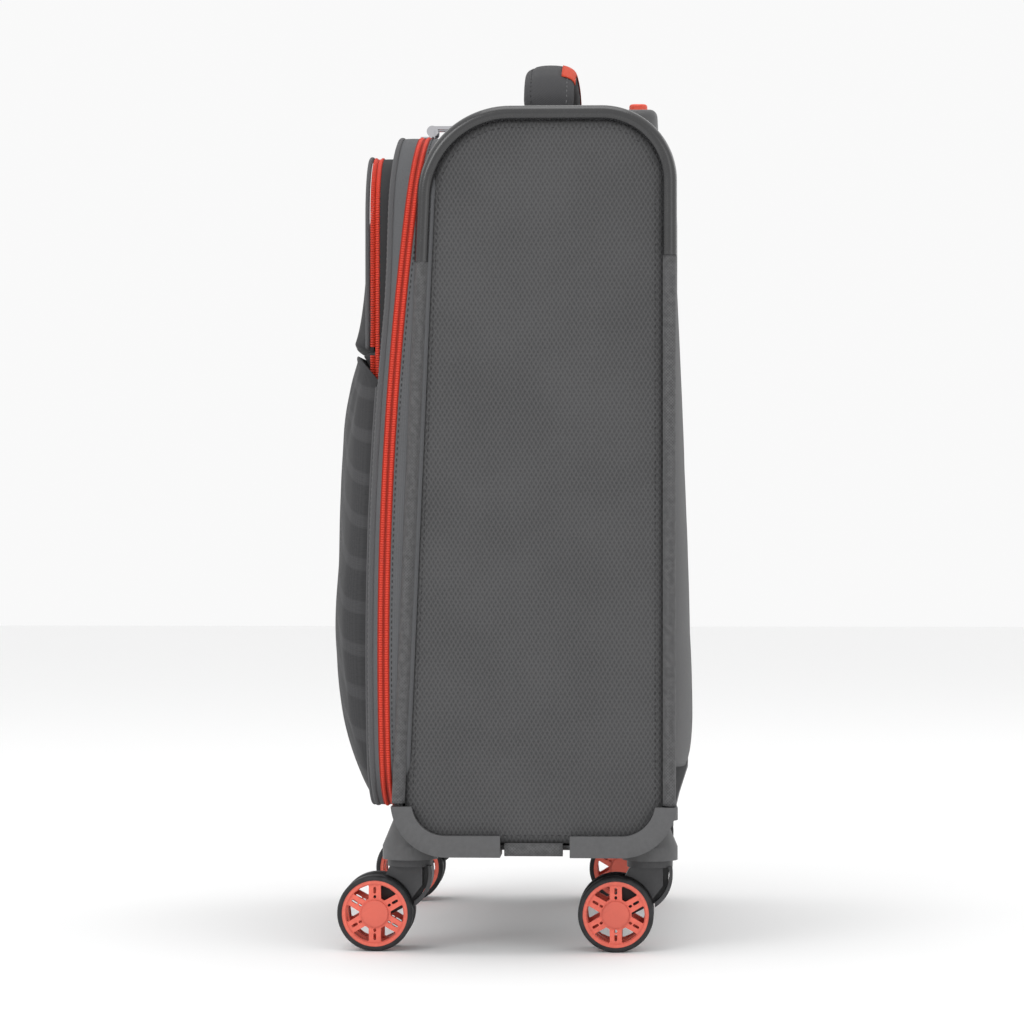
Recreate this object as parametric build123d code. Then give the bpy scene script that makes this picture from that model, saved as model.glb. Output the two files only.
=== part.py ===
"""Softside upright suitcase: a cabin-size spinner with a side-hinged front lid.

Units are millimetres. +Z is up, the lid and its pockets face -Y, the trolley is at +Y,
and the origin is on the floor under the middle of the suitcase.
Side outlines are drawn in (Y, Z) and pushed out along X. Front outlines are in (X, Z).
"""
from build123d import *
import math
import os

# ---------------------------------------------------------------- driving dimensions
SIDE_X = 172.5          # outer face of a side panel
BOARD = 4.0             # side panel thickness
SHELL = 3.5             # thickness of the top, back and bottom panels
SHELL_X = 167.6         # half width of the top, back and bottom panels

# Side outline of the case, without its piping.
TOP_Z = 510.0
BASE_Z = 63.0
BACK_Y = 99.0
FRONT_TOP_Y = -49.0     # the front edge leans: its Y at TOP_Z
FRONT_BASE_Y = -68.2    # and at BASE_Z
R_TOP_FRONT = 53.0
R_TOP_BACK = 42.0
R_BASE = 30.0

BACK_BELLY_Y = 109.0    # the padded back is fullest here
BELLY_Z = 165.0
BELLY_TOP_Z = 455.0
BELLY_LIP_Z = 114.0

PIPING_R = 4.0
PIPING_X = 172.3        # X of the piping's centre line
PIPING_IN = 1.0         # how far its centre line lies inside the side outline
TRIM_R = 4.6            # the thicker moulded arch over the top
TRIM_LOW_Z = 422.0      # where the moulded arch ends and the textile piping starts

# Front lid: its outline from the front, and the curved seam where the zip runs.
LID_X = 173.0
LID_TOP = 498.0
LID_BASE = 92.0
LID_R_TOP = 45.0
LID_R_BASE = 36.0
LID_WALL = 2.6
LID_DEPTH = 8.5
SEAM_TOP = (-52.0, 498.0)      # (Y, Z) on the seam
SEAM_MID = (-72.2, 290.0)
SEAM_BASE = (-73.0, 90.0)
SEAM_RUN_ON = 14.0             # straight stretch added at each end of the seam's arc
SEAM_GAP = 0.8                 # half the gap between the two rows of zip teeth
TOOTH_H = 1.2                  # height of the zip rows above the fabric
TOOTH_W = 2.5                  # width of one zip row
HINGE_STRIP = 3.4              # thickness of the fabric hinge

# Front pockets.
UPPER_X = 160.0
UPPER_BASE = 366.0
UPPER_TOP = 486.0
UPPER_R = 38.0
UPPER_FRONT_Y = -95.5
POCKET_WALL = 3.0
POCKET_SEAM_Y = -81.0                  # plane of the upper pocket's zip
POCKET_SLIDER_Z = 382.0
LOWER_X = 165.0
LOWER_BASE = 93.0
LOWER_TOP = 361.0
LOWER_FRONT_Y = -109.0

# Trolley handle.
TROLLEY_Y = 77.5
TUBE_X = 56.0
TUBE_SIZES = ((24.0, 14.0), (21.2, 11.2), (18.4, 8.4))   # fixed, middle and top tube
TUBE_WALL = 1.1
TUBE_LOW = (78.0, 110.0, 122.0)        # lower ends at rest
TUBE_HIGH = (492.0, 500.5, 512.0)      # upper ends at rest
GRIP_X = 78.0
GRIP_DEPTH = 25.0
GRIP_BASE = 504.5
GRIP_TOP = 527.0
GRIP_ARCH = 9.0                        # height of the finger gap under the grip
GRIP_DROP = 6.0                        # the grip's top is this much lower at its ends
BUTTON_TOP = 531.5
BUTTON_SIZE = (44.0, 11.6)
BUTTON_BASE = 520.5                    # the button stands here on the release bar
GRIP_CAVITY = (515.4, 522.0)           # lower and upper end of the space for the bar
ROD_R = 1.8
ROD_LOW = 290.0

# Top carry handle.
CARRY_Y = 22.0
CARRY_WIDTH = 34.0
CARRY_TOP = 553.0
CARRY_REACH = 92.0                     # half the distance between its anchors
CARRY_THICK = 12.0

# Casters.
CASTER_X = 140.0
CASTER_Y = (-61.0, 86.0)               # front and rear swivel axes
TRAIL = 20.6                           # the wheels trail this far towards the front
WHEEL_R = 23.1
RIM_R = 20.15
WHEEL_IN = 5.2                         # inner face of a wheel, from the fork's middle
WHEEL_W = 12.0
HOUSING_BASE = 55.5
FORK_TOP = 55.2
FORK_PLATE = 4.0
AXLE_R = 2.5
KINGPIN_R = 4.0
RUNNING_GAP = 0.05
GUARD_TOP = 90.0                       # height that a corner guard reaches
GUARD_X = 178.0
GUARD_IN = 9.5
GUARD_OUT = 3.5
GUARD_END_Y = (-4.0, 38.0)             # inner ends of the front and rear guards

BIG = 600.0


# ---------------------------------------------------------------- small helpers
def side_prism(face_2d, x_low, x_high):
    """Push a (Y, Z) outline out along X."""
    return extrude(Plane.YZ.offset(x_low) * face_2d, x_high - x_low)


def front_prism(face_2d, y_front, y_back):
    """Push an (X, Z) outline out along Y."""
    return extrude(Plane.XZ.offset(-y_back) * face_2d, y_back - y_front)


def box_between(low, high):
    size = [b - a for a, b in zip(low, high)]
    middle = [(a + b) / 2 for a, b in zip(low, high)]
    return Pos(*middle) * Box(*size)


def rounded_block(low, high, radius, axis=Axis.Z):
    block = box_between(low, high)
    return fillet(block.edges().filter_by(axis), radius)


def x_cylinder(radius, x_low, x_high, y, z):
    return Pos((x_low + x_high) / 2, y, z) * Rot(0, 90, 0) * Cylinder(radius, x_high - x_low)


def mirrored_x(solid):
    return mirror(solid, about=Plane.YZ)


def save(name, *solids):
    """Write one node. Several solids make one node of separate pieces."""
    pieces = []
    for solid in solids:
        pieces.extend(solid.solids())
    shape = pieces[0] if len(pieces) == 1 else Compound(children=pieces)
    export_step(shape, f"parts/{name}.step")


# ---------------------------------------------------------------- outlines
def case_outline(grow=0.0):
    """Side outline of the case, grown outward by grow."""
    corners = [
        (FRONT_BASE_Y - grow, BASE_Z - grow),
        (BACK_Y + grow, BASE_Z - grow),
        (BACK_Y + grow, TOP_Z + grow),
        (FRONT_TOP_Y - grow, TOP_Z + grow),
    ]
    face = make_face(Polyline(*corners, close=True))
    radii = (R_BASE, R_BASE, R_TOP_BACK, R_TOP_FRONT)
    for corner, radius in zip(corners, radii):
        vertex = face.vertices().sort_by_distance((corner[0], corner[1], 0))[0]
        face = fillet(vertex, radius + grow)
    return face


def lid_outline(shrink=0.0):
    """Front outline of the lid and of the case's front frame."""
    corners = [
        (-LID_X + shrink, LID_BASE + shrink),
        (LID_X - shrink, LID_BASE + shrink),
        (LID_X - shrink, LID_TOP - shrink),
        (-LID_X + shrink, LID_TOP - shrink),
    ]
    face = make_face(Polyline(*corners, close=True))
    radii = (LID_R_BASE, LID_R_BASE, LID_R_TOP, LID_R_TOP)
    for corner, radius in zip(corners, radii):
        vertex = face.vertices().sort_by_distance((corner[0], corner[1], 0))[0]
        face = fillet(vertex, radius - shrink)
    return face


def seam_slab(near, far):
    """The layer between near and far in front of the zip seam, as a slab along X."""
    loop = []
    ends = []
    for offset in (near, far):
        arc = ThreePointArc(*[(y - offset, z) for y, z in (SEAM_BASE, SEAM_MID, SEAM_TOP)])
        below = arc @ 0 - (arc % 0) * SEAM_RUN_ON
        above = arc @ 1 + (arc % 1) * SEAM_RUN_ON
        loop.extend((arc, Line(below, arc @ 0), Line(arc @ 1, above)))
        ends.append((below, above))
    loop.append(Line(ends[0][0], ends[1][0]))
    loop.append(Line(ends[0][1], ends[1][1]))
    return side_prism(make_face(loop), -BIG, BIG)


def lid_ring(thickness, shrink=0.0, depth=120.0):
    ring = lid_outline(shrink) - lid_outline(shrink + thickness)
    return front_prism(ring, -depth, 0.0)


# ---------------------------------------------------------------- case
def tube_outline(size, wall=None):
    """Rounded section of a trolley tube in plan."""
    width, depth = size
    outer = RectangleRounded(width, depth, depth * 0.3)
    if wall is None:
        return outer
    return outer - RectangleRounded(width - 2 * wall, depth - 2 * wall, depth * 0.3 - wall * 0.6)


def bezel_block(clearance=0.0):
    low = (-GRIP_X - 12 - clearance, TROLLEY_Y - 16 - clearance, 480 - clearance)
    high = (GRIP_X + 12 + clearance, TROLLEY_Y + 15 + clearance, TOP_Z + 10)
    return rounded_block(low, high, 12 + clearance)


def arc_from_belly(end_z, end_y):
    """Arc in (Y, Z) that leaves the fullest point of the back upright and ends at the given point."""
    rise = end_z - BELLY_Z
    radius = (rise ** 2 + (BACK_BELLY_Y - end_y) ** 2) / (2 * (BACK_BELLY_Y - end_y))
    half = rise / 2
    middle = (BACK_BELLY_Y - radius + math.sqrt(radius ** 2 - half ** 2), BELLY_Z + half)
    return ThreePointArc((BACK_BELLY_Y, BELLY_Z), middle, (end_y, end_z))


def make_shell_panels():
    """Top, back and bottom panels, cut from one curved shell."""
    shell = side_prism(case_outline() - case_outline(-SHELL), -SHELL_X, SHELL_X)
    top_cut = TOP_Z - R_TOP_FRONT
    base_cut = BASE_Z + R_BASE
    top = shell & box_between((-BIG, -BIG, top_cut), (BIG, BIG, BIG))
    top = top - bezel_block(0.1)
    back_rim = shell & box_between((-BIG, BACK_Y - SHELL - 1, base_cut), (BIG, BIG, top_cut))
    base = shell & box_between((-BIG, -BIG, 0), (BIG, BIG, base_cut))
    upper = arc_from_belly(BELLY_TOP_Z, BACK_Y)
    lower = arc_from_belly(BELLY_LIP_Z, BACK_BELLY_Y - 2.0)
    lip = Line(lower @ 1, (BACK_Y, BELLY_LIP_Z - 10))
    flat = Line(lip @ 1, upper @ 1)
    bulge = side_prism(make_face([upper, lower, lip, flat]), -SHELL_X + 6, SHELL_X - 6)
    for side_x in (-1, 1):
        bulge = bulge - guard_zone(side_x, 1, 3.5)
    return top, back_rim + bulge, base


def guard_zone(side_x, end_index, gap=0.0):
    """The corner block that a guard fills."""
    low_y, high_y = ((-BIG, GUARD_END_Y[0]), (GUARD_END_Y[1], BIG))[end_index]
    x_low, x_high = sorted((side_x * 150, side_x * BIG))
    return box_between((x_low, low_y - gap, 0), (x_high, high_y + gap, GUARD_TOP + gap))


def piping_ring(radius):
    """One closed bead round the side outline, on the +X side."""
    centre_line = case_outline(-PIPING_IN)
    path = (Plane.YZ.offset(PIPING_X) * centre_line).faces()[0].outer_wire()
    start = path @ 0.0
    section = Plane(origin=start, z_dir=path % 0.0) * Circle(radius)
    return sweep(section, path=path)


def make_piping():
    """Textile piping below, and the thicker moulded arch above."""
    above = box_between((-BIG, -BIG, TRIM_LOW_Z), (BIG, BIG, BIG))
    below = box_between((-BIG, -BIG, 0), (BIG, BIG, TRIM_LOW_Z - 0.2))
    arch = piping_ring(TRIM_R) & above
    bead = piping_ring(PIPING_R) & below
    for end_index in (0, 1):
        bead = bead - guard_zone(1, end_index, 0.2)
    return [bead, mirrored_x(bead)], [arch, mirrored_x(arch)]


def make_side_panel():
    inset = PIPING_R + PIPING_IN + 0.8
    return side_prism(case_outline(-inset), SIDE_X - BOARD, SIDE_X)


def clear_of_case(solid):
    """Cut a piece back from the case's shell and from the beads beside it."""
    solid = solid - side_prism(case_outline(0.1), -SHELL_X - 0.1, SHELL_X + 0.1)
    for low, high in ((-BIG, -SHELL_X), (SHELL_X, BIG)):
        solid = solid - side_prism(case_outline(TRIM_R + 0.2), low, high)
    return solid


def make_front_frame():
    """The ring of the case that stands proud around the opening, back from the zip."""
    frame = clear_of_case(lid_ring(LID_WALL) & seam_slab(-60.0, -SEAM_GAP))
    return sorted(frame.solids(), key=lambda solid: solid.volume)[-1]


def make_zip_row(near, far):
    """One row of teeth, raised on the outside of the lid outline."""
    ring = front_prism(lid_outline(-TOOTH_H) - lid_outline(0.0), -120.0, 0.0)
    row = ring & seam_slab(near, far)
    guards_clear = row - box_between((-BIG, -BIG, 0), (BIG, BIG, LID_BASE - TOOTH_H - 1))
    hinge_side = box_between((-BIG, -BIG, LID_BASE + 44), (-LID_X + 1.0, BIG, LID_TOP - 52))
    return guards_clear - hinge_side


def make_hinge_strip(near, far):
    """Half of the fabric hinge on the far side."""
    strip = box_between((-LID_X - HINGE_STRIP, -BIG, LID_BASE + 46), (-LID_X, BIG, LID_TOP - 54))
    return strip & seam_slab(near, far)


def make_bezel():
    block = bezel_block()
    skin = side_prism(case_outline(1.4), -BIG, BIG)
    bezel = block & skin
    for side_x in (-1, 1):
        width, depth = TUBE_SIZES[0]
        hole = extrude(Pos(side_x * TUBE_X, TROLLEY_Y, 400) * tube_outline((width + 0.4, depth + 0.4)), 200)
        bezel = bezel - hole
    return bezel & box_between((-BIG, -BIG, 0), (BIG, BIG, GRIP_BASE - 1.0))


def make_tube_pair(stage):
    wall = TUBE_WALL
    tubes = []
    for side_x in (-1, 1):
        place = Pos(side_x * TUBE_X, TROLLEY_Y, TUBE_LOW[stage])
        tubes.append(extrude(place * tube_outline(TUBE_SIZES[stage], wall), TUBE_HIGH[stage] - TUBE_LOW[stage]))
    return tubes


def make_back_lining():
    return front_prism(Pos(0, 276) * RectangleRounded(330, 396, 24), 66.0, 67.5)


def make_straps():
    """Two packing straps lying flat on the lining, joined by a buckle."""
    straps = []
    for side_x in (-1, 1):
        lower = box_between((side_x * 70 - 12.5, 64.2, 90), (side_x * 70 + 12.5, 65.7, 268))
        upper = box_between((side_x * 70 - 12.5, 64.2, 302), (side_x * 70 + 12.5, 65.7, 466))
        straps.extend((lower, upper))
    return straps


def make_strap_buckles():
    buckles = []
    for side_x in (-1, 1):
        block = rounded_block((side_x * 70 - 16, 60.5, 268.2), (side_x * 70 + 16, 65.7, 301.8), 4, Axis.Y)
        buckles.append(block)
    return buckles


# ---------------------------------------------------------------- carry handle
def carry_profile(thickness, lift):
    """Half-oval grip outline in (X, Z): low at the anchors and high in the middle."""
    base = TOP_Z + 3.0
    outer_top = CARRY_TOP - lift
    outer = [
        (-CARRY_REACH, base),
        (-CARRY_REACH + 26, outer_top - 6),
        (-CARRY_REACH + 46, outer_top),
        (CARRY_REACH - 46, outer_top),
        (CARRY_REACH - 26, outer_top - 6),
        (CARRY_REACH, base),
    ]
    inner = [
        (CARRY_REACH - 14, base),
        (CARRY_REACH - 34, outer_top - thickness - 4),
        (CARRY_REACH - 48, outer_top - thickness),
        (-CARRY_REACH + 48, outer_top - thickness),
        (-CARRY_REACH + 34, outer_top - thickness - 4),
        (-CARRY_REACH + 14, base),
    ]
    return make_face(Polyline(*outer, *inner, close=True))


def make_carry_handle():
    grip = front_prism(carry_profile(CARRY_THICK, 0.0), CARRY_Y - CARRY_WIDTH / 2, CARRY_Y + CARRY_WIDTH / 2)
    long_edges = grip.edges().filter_by(Axis.Y, reverse=True)
    return fillet(long_edges.filter_by(Axis.X), 4.5)


def make_carry_anchors():
    anchors = []
    for side_x in (-1, 1):
        centre = side_x * (CARRY_REACH - 4)
        low = (centre - 22, CARRY_Y - 19, TOP_Z + 0.1)
        high = (centre + 22, CARRY_Y + 19, TOP_Z + 2.9)
        anchors.append(rounded_block(low, high, 8))
    return anchors


def make_carry_rivets():
    rivets = []
    for side_x in (-1, 1):
        rivets.append(Pos(side_x * (CARRY_REACH + 11), CARRY_Y, TOP_Z + 3.7) * Cylinder(4.5, 1.5))
    return rivets


# ---------------------------------------------------------------- trolley top
def make_grip():
    half = GRIP_DEPTH / 2
    low = (-GRIP_X, TROLLEY_Y - half, GRIP_BASE)
    high = (GRIP_X, TROLLEY_Y + half, GRIP_TOP)
    grip = rounded_block(low, high, 11)
    crown = ThreePointArc((-GRIP_X, GRIP_TOP - GRIP_DROP), (0, GRIP_TOP), (GRIP_X, GRIP_TOP - GRIP_DROP))
    sides = Polyline(crown @ 1, (GRIP_X, GRIP_BASE), (-GRIP_X, GRIP_BASE), crown @ 0)
    grip = grip & front_prism(make_face([crown, sides]), 0, 2 * TROLLEY_Y)
    grip = fillet(grip.faces().sort_by(Axis.Z)[-1].edges(), 5)
    gap = box_between((-44, -BIG, 0), (44, BIG, GRIP_BASE + GRIP_ARCH))
    grip = grip - gap
    cavity = box_between((-61, TROLLEY_Y - 6.2, GRIP_CAVITY[0]), (61, TROLLEY_Y + 6.2, GRIP_CAVITY[1]))
    grip = grip - cavity
    width, depth = BUTTON_SIZE
    mouth = extrude(Pos(0, TROLLEY_Y, GRIP_CAVITY[0] + 2) * RectangleRounded(width + 0.6, depth + 0.6, 4.5), 30)
    grip = grip - mouth
    for side_x in (-1, 1):
        socket = extrude(Pos(side_x * TUBE_X, TROLLEY_Y, 0) * tube_outline(TUBE_SIZES[2]), TUBE_HIGH[2])
        rod_hole = Pos(side_x * TUBE_X, TROLLEY_Y, 500) * Cylinder(2.6, 60)
        rod_hole = rod_hole & box_between((-BIG, -BIG, 0), (BIG, BIG, GRIP_CAVITY[0] + 1))
        grip = grip - socket - rod_hole
    return grip


def make_button():
    width, depth = BUTTON_SIZE
    outline = Pos(0, TROLLEY_Y, BUTTON_BASE) * RectangleRounded(width, depth, 4.2)
    cap = extrude(outline, BUTTON_TOP - BUTTON_BASE)
    return fillet(cap.faces().sort_by(Axis.Z)[-1].edges(), 1.5)


def make_release_rods():
    """The bar under the button and the two rods that pull the locks."""
    top = BUTTON_BASE
    bar = box_between((-59, TROLLEY_Y - 5, top - 2.0), (59, TROLLEY_Y + 5, top))
    for side_x in (-1, 1):
        bar = bar + Pos(side_x * TUBE_X, TROLLEY_Y, (top + ROD_LOW) / 2) * Cylinder(ROD_R, top - ROD_LOW)
    return bar


# ---------------------------------------------------------------- casters
def make_caster_housing(side_x, end_index):
    """Corner guard and bell, moulded as one piece."""
    swivel_y = CASTER_Y[end_index]
    outer = side_prism(case_outline(GUARD_OUT), 150.0, GUARD_X)
    window = side_prism(case_outline(-GUARD_IN), -BIG, BIG)
    body = side_prism(case_outline(0.1), -BIG, SIDE_X + 0.2)
    guard = (outer & guard_zone(1, end_index)) - window
    skirt = Pos(CASTER_X, swivel_y, HOUSING_BASE + 4) * Cylinder(17, 8)
    bell = Pos(CASTER_X, swivel_y, HOUSING_BASE + 8 + 12) * Cone(17, 7, 24)
    web = box_between((CASTER_X, swivel_y - 13, HOUSING_BASE + 2), (GUARD_X - 6, swivel_y + 13, GUARD_TOP - 12))
    web = web & side_prism(case_outline(GUARD_OUT), -BIG, BIG)
    housing = guard + skirt + bell + web - body
    bore = Pos(CASTER_X, swivel_y, HOUSING_BASE + 5.5) * Cylinder(KINGPIN_R + RUNNING_GAP, 11)
    housing = housing - bore
    housing = sorted(housing.solids(), key=lambda solid: solid.volume)[-1]
    return housing if side_x > 0 else mirrored_x(housing)


def make_fork(side_x, end_index):
    """Swivel fork: kingpin, round plate, body between the wheels and curved fender."""
    x = side_x * CASTER_X
    y = CASTER_Y[end_index]
    plate_low = FORK_TOP - FORK_PLATE
    axle_y = y - TRAIL
    plate = Pos(x, y, FORK_TOP - FORK_PLATE / 2) * Cylinder(14, FORK_PLATE)
    kingpin = Pos(x, y, FORK_TOP + 5) * Cylinder(KINGPIN_R, 10)
    cheek_line = [(y - 12, plate_low), (y + 8, plate_low), (y + 8, 40), (y - 3, 26), (axle_y, 17), (axle_y - 6, 24)]
    cheek = side_prism(make_face(Polyline(*cheek_line, close=True)), x - 9, x + 9)
    for wheel_side in (-1, 1):
        low, high = sorted((x + wheel_side * (WHEEL_IN - 0.8), x + wheel_side * 30))
        cheek = cheek - x_cylinder(WHEEL_R + 1.0, low, high, axle_y, WHEEL_R)
    outer = ThreePointArc((y + 13.5, plate_low + 0.5), (y + 12.3, 38), (y + 3.2, 27))
    inner = ThreePointArc((y + 3.0, 30), (y + 10.3, 39), (y + 11.3, plate_low + 0.5))
    fender_line = [outer, Line(outer @ 1, inner @ 0), inner, Line(inner @ 1, outer @ 0)]
    fender = side_prism(make_face(fender_line), x - 10, x + 10)
    link = side_prism(make_face(Polyline((y + 7, plate_low), (y + 12, plate_low), (y + 11, 40),
                                         (y + 4, 29), (y - 3, 27), (y + 5, 38), close=True)), x - 2, x + 2)
    boss = x_cylinder(5.5, x - WHEEL_IN + 0.5, x + WHEEL_IN - 0.5, axle_y, WHEEL_R)
    fork = plate + kingpin + cheek + fender + link + boss
    fork = fork - x_cylinder(AXLE_R + 0.02, x - 30, x + 30, axle_y, WHEEL_R)
    return sorted(fork.solids(), key=lambda solid: solid.volume)[-1]


def make_axle(side_x, end_index):
    x = side_x * CASTER_X
    reach = WHEEL_IN + WHEEL_W - 3.0
    return x_cylinder(AXLE_R, x - reach, x + reach, CASTER_Y[end_index] - TRAIL, WHEEL_R)


def make_rim():
    """One wheel rim about the X axis, hub cap towards +X, inner face at x = 0."""
    barrel = Cylinder(RIM_R, WHEEL_W - 1.0) - Cylinder(18.1, WHEEL_W)
    hub = Cylinder(8.2, WHEEL_W - 1.0)
    cap = Pos(0, 0, (WHEEL_W - 1.0) / 2) * Cylinder(8.0, 0.8)
    disc_z = (WHEEL_W - 1.0) / 2 - 2.4
    disc = Pos(0, 0, disc_z) * (Cylinder(19, 3.2) - Cylinder(7, 4))
    windows = []
    for step in range(6):
        turn = Rot(0, 0, step * 60 + 30)
        outline = make_face(Polyline((9.6, -1.2), (16.9, -5.6), (17.6, 0), (16.9, 5.6), (9.6, 1.2), close=True))
        outline = fillet(outline.vertices(), 0.7)
        windows.append(turn * extrude(Pos(0, 0, disc_z - 3) * outline, 6))
        spoke = Rot(0, 0, step * 60)
        windows.append(spoke * extrude(Pos(14.2, 0, disc_z - 3) * SlotOverall(4.2, 1.7), 6))
        windows.append(spoke * extrude(Pos(10.2, 0, disc_z - 3) * SlotOverall(2.2, 1.7), 6))
    for window in windows:
        disc = disc - window
    rim = barrel + hub + disc + cap
    bore_depth = WHEEL_W - 3.0 + RUNNING_GAP
    bore = Pos(0, 0, -WHEEL_W / 2 + bore_depth / 2) * Cylinder(AXLE_R + RUNNING_GAP, bore_depth)
    return rim - bore


def make_tyre():
    ring = Cylinder(WHEEL_R, WHEEL_W) - Cylinder(RIM_R + 0.03, WHEEL_W + 2)
    crown = ring.edges().filter_by(GeomType.CIRCLE).group_by(SortBy.RADIUS)[-1]
    return fillet(crown, 2.2)


def place_wheel(shape, side_x, end_index, wheel_side):
    middle = side_x * CASTER_X + wheel_side * (WHEEL_IN + WHEEL_W / 2)
    turn = Rot(0, 90 * wheel_side, 0)
    return Pos(middle, CASTER_Y[end_index] - TRAIL, WHEEL_R) * turn * shape


# ---------------------------------------------------------------- lid
def make_lid_gusset():
    return lid_ring(LID_WALL) & seam_slab(SEAM_GAP, LID_DEPTH - 2.0)


def make_lid_panel():
    return front_prism(lid_outline(LID_WALL + 0.1), -120.0, 0.0) & seam_slab(LID_DEPTH - 4.5, LID_DEPTH - 2.2)


def make_lid_binding():
    return lid_ring(6.0) & seam_slab(LID_DEPTH - 1.9, LID_DEPTH + 0.6)


def make_lower_pocket():
    """Padded pocket: a side outline and a plan outline pushed through each other."""
    lid_front = ThreePointArc(*[(y - LID_DEPTH - 0.9, z) for y, z in (SEAM_BASE, SEAM_MID, SEAM_TOP)])
    back_line = [lid_front.position_at(t) for t in (0.007, 0.2, 0.4, 0.66)]
    front_line = [(-98.0, LOWER_TOP), (-106.5, 270), (LOWER_FRONT_Y, 200), (-106, 155), (-97, 115), (-85, LOWER_BASE)]
    outline = [(point.X, point.Y) for point in back_line] + front_line
    pillow = side_prism(make_face(Polyline(*outline, close=True)), -LOWER_X, LOWER_X)
    plan_arc = ThreePointArc((-LOWER_X, -93.0), (0, LOWER_FRONT_Y), (LOWER_X, -93.0))
    plan_line = Polyline(plan_arc @ 1, (LOWER_X, -50.0), (-LOWER_X, -50.0), plan_arc @ 0)
    plan = extrude(make_face([plan_arc, plan_line]), BIG)
    return pillow & plan


def upper_outline(shrink=0.0):
    face = Pos(0, (UPPER_TOP + UPPER_BASE) / 2) * Rectangle(
        2 * (UPPER_X - shrink), UPPER_TOP - UPPER_BASE - 2 * shrink
    )
    return fillet(face.vertices().group_by(Axis.Y)[-1], UPPER_R - shrink)


def make_pocket_gusset():
    ring = upper_outline() - upper_outline(POCKET_WALL)
    return front_prism(ring, POCKET_SEAM_Y + SEAM_GAP, 0) & seam_slab(LID_DEPTH + 0.8, 60.0)


def pocket_flap_block(shrink):
    """Outer or inner shape of the pocket's front: bulged, and cut back at its lower edge."""
    front_y = UPPER_FRONT_Y + shrink
    low = UPPER_BASE + shrink
    plan_arc = ThreePointArc((-UPPER_X, front_y + 6), (0, front_y), (UPPER_X, front_y + 6))
    plan_line = Polyline(plan_arc @ 1, (UPPER_X, -50.0), (-UPPER_X, -50.0), plan_arc @ 0)
    plan = extrude(make_face([plan_arc, plan_line]), BIG)
    side_line = Polyline(
        (-60, low), (-81.5 + shrink, low), (front_y, low + 14), (front_y, UPPER_TOP - 26),
        (-84 + shrink, UPPER_TOP - shrink), (-60, UPPER_TOP - shrink), close=True
    )
    side = side_prism(make_face(side_line), -BIG, BIG)
    return plan & side & front_prism(upper_outline(shrink), -130, 0)


def make_pocket_flap():
    flap = pocket_flap_block(0.0) - pocket_flap_block(POCKET_WALL)
    return flap & box_between((-BIG, -BIG, 0), (BIG, POCKET_SEAM_Y - SEAM_GAP, BIG))


def make_badge():
    """Plain badge sewn to the pocket's front."""
    return rounded_block((-34, -97.3, 408), (34, -95.7, 430), 3, Axis.Y)


# ---------------------------------------------------------------- zip sliders
MAIN_SLIDER_X = (100.0, 114.0)
SEAM_TOP_Y = -52.2
BAIL_LIFT = 5.2                # height of the bail above the teeth
BAIL_BACK = 3.0                # the main sliders' bails stand back from the seam
MAIN_PULL = 25.0
POCKET_PULL = 20.0
BAIL_R = 1.1
EYE_R = 3.5


def make_slider(wall, bail_y):
    """Zip slider over the origin: z = 0 on top of the teeth, travel along X.

    A plate rides over the teeth, a web passes through their gap, and a plate runs below
    a wall of the given thickness. Two ears carry the bail, whose axis is X.
    """
    reach = TOOTH_H + wall
    plate = rounded_block((-5.5, -4.2, 0.5), (5.5, 4.2, 1.4), 1.5)
    web = box_between((-4.0, -0.25, -reach - 0.6), (4.0, 0.25, 0.7))
    lower = rounded_block((-5.0, -3.6, -reach - 1.5), (5.0, 3.6, -reach - 0.5), 1.5)
    slider = plate + web + lower
    for ear_side in (-1, 1):
        ear_low, ear_high = sorted((ear_side * 2.0, ear_side * 3.2))
        ear = box_between((ear_low, bail_y - 1.6, 1.0), (ear_high, bail_y + 1.6, BAIL_LIFT))
        slider = slider + ear + x_cylinder(1.6, ear_low, ear_high, bail_y, BAIL_LIFT)
    return slider + x_cylinder(BAIL_R, -2.6, 2.6, bail_y, BAIL_LIFT)


def make_pull(length, bail_y):
    """Cast pull for a slider over the origin: round eye, and a flat arm towards +Y."""
    eye = x_cylinder(EYE_R, -1.6, 1.6, bail_y, BAIL_LIFT)
    arm_low = BAIL_LIFT + 1.2
    arm_high = BAIL_LIFT + 3.2
    arm = box_between((-1.6, bail_y, arm_low), (1.6, bail_y + length, arm_high))
    tail = rounded_block((-3.2, bail_y + length * 0.45, arm_low), (3.2, bail_y + length, arm_high), 1.5)
    return eye + arm + tail - x_cylinder(BAIL_R + RUNNING_GAP, -5, 5, bail_y, BAIL_LIFT)


def make_pocket_slider():
    """The pocket's slider on its far side; its pull hangs down."""
    place = Pos(-UPPER_X - TOOTH_H, POCKET_SEAM_Y, POCKET_SLIDER_Z) * Rot(0, -90, 0)
    upright = Rot(0, 0, 90)
    slider = make_slider(POCKET_WALL, 0.0)
    plates = slider & box_between((-BIG, -BIG, -BIG), (BIG, BIG, 1.4))
    ears = slider & box_between((-BIG, -BIG, 0.6), (BIG, BIG, BIG))
    ears = ears - box_between((-BIG, -BIG, 0), (BIG, BIG, 1.0))
    return place * (plates + upright * ears), place * upright * make_pull(POCKET_PULL, 0.0)


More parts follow.
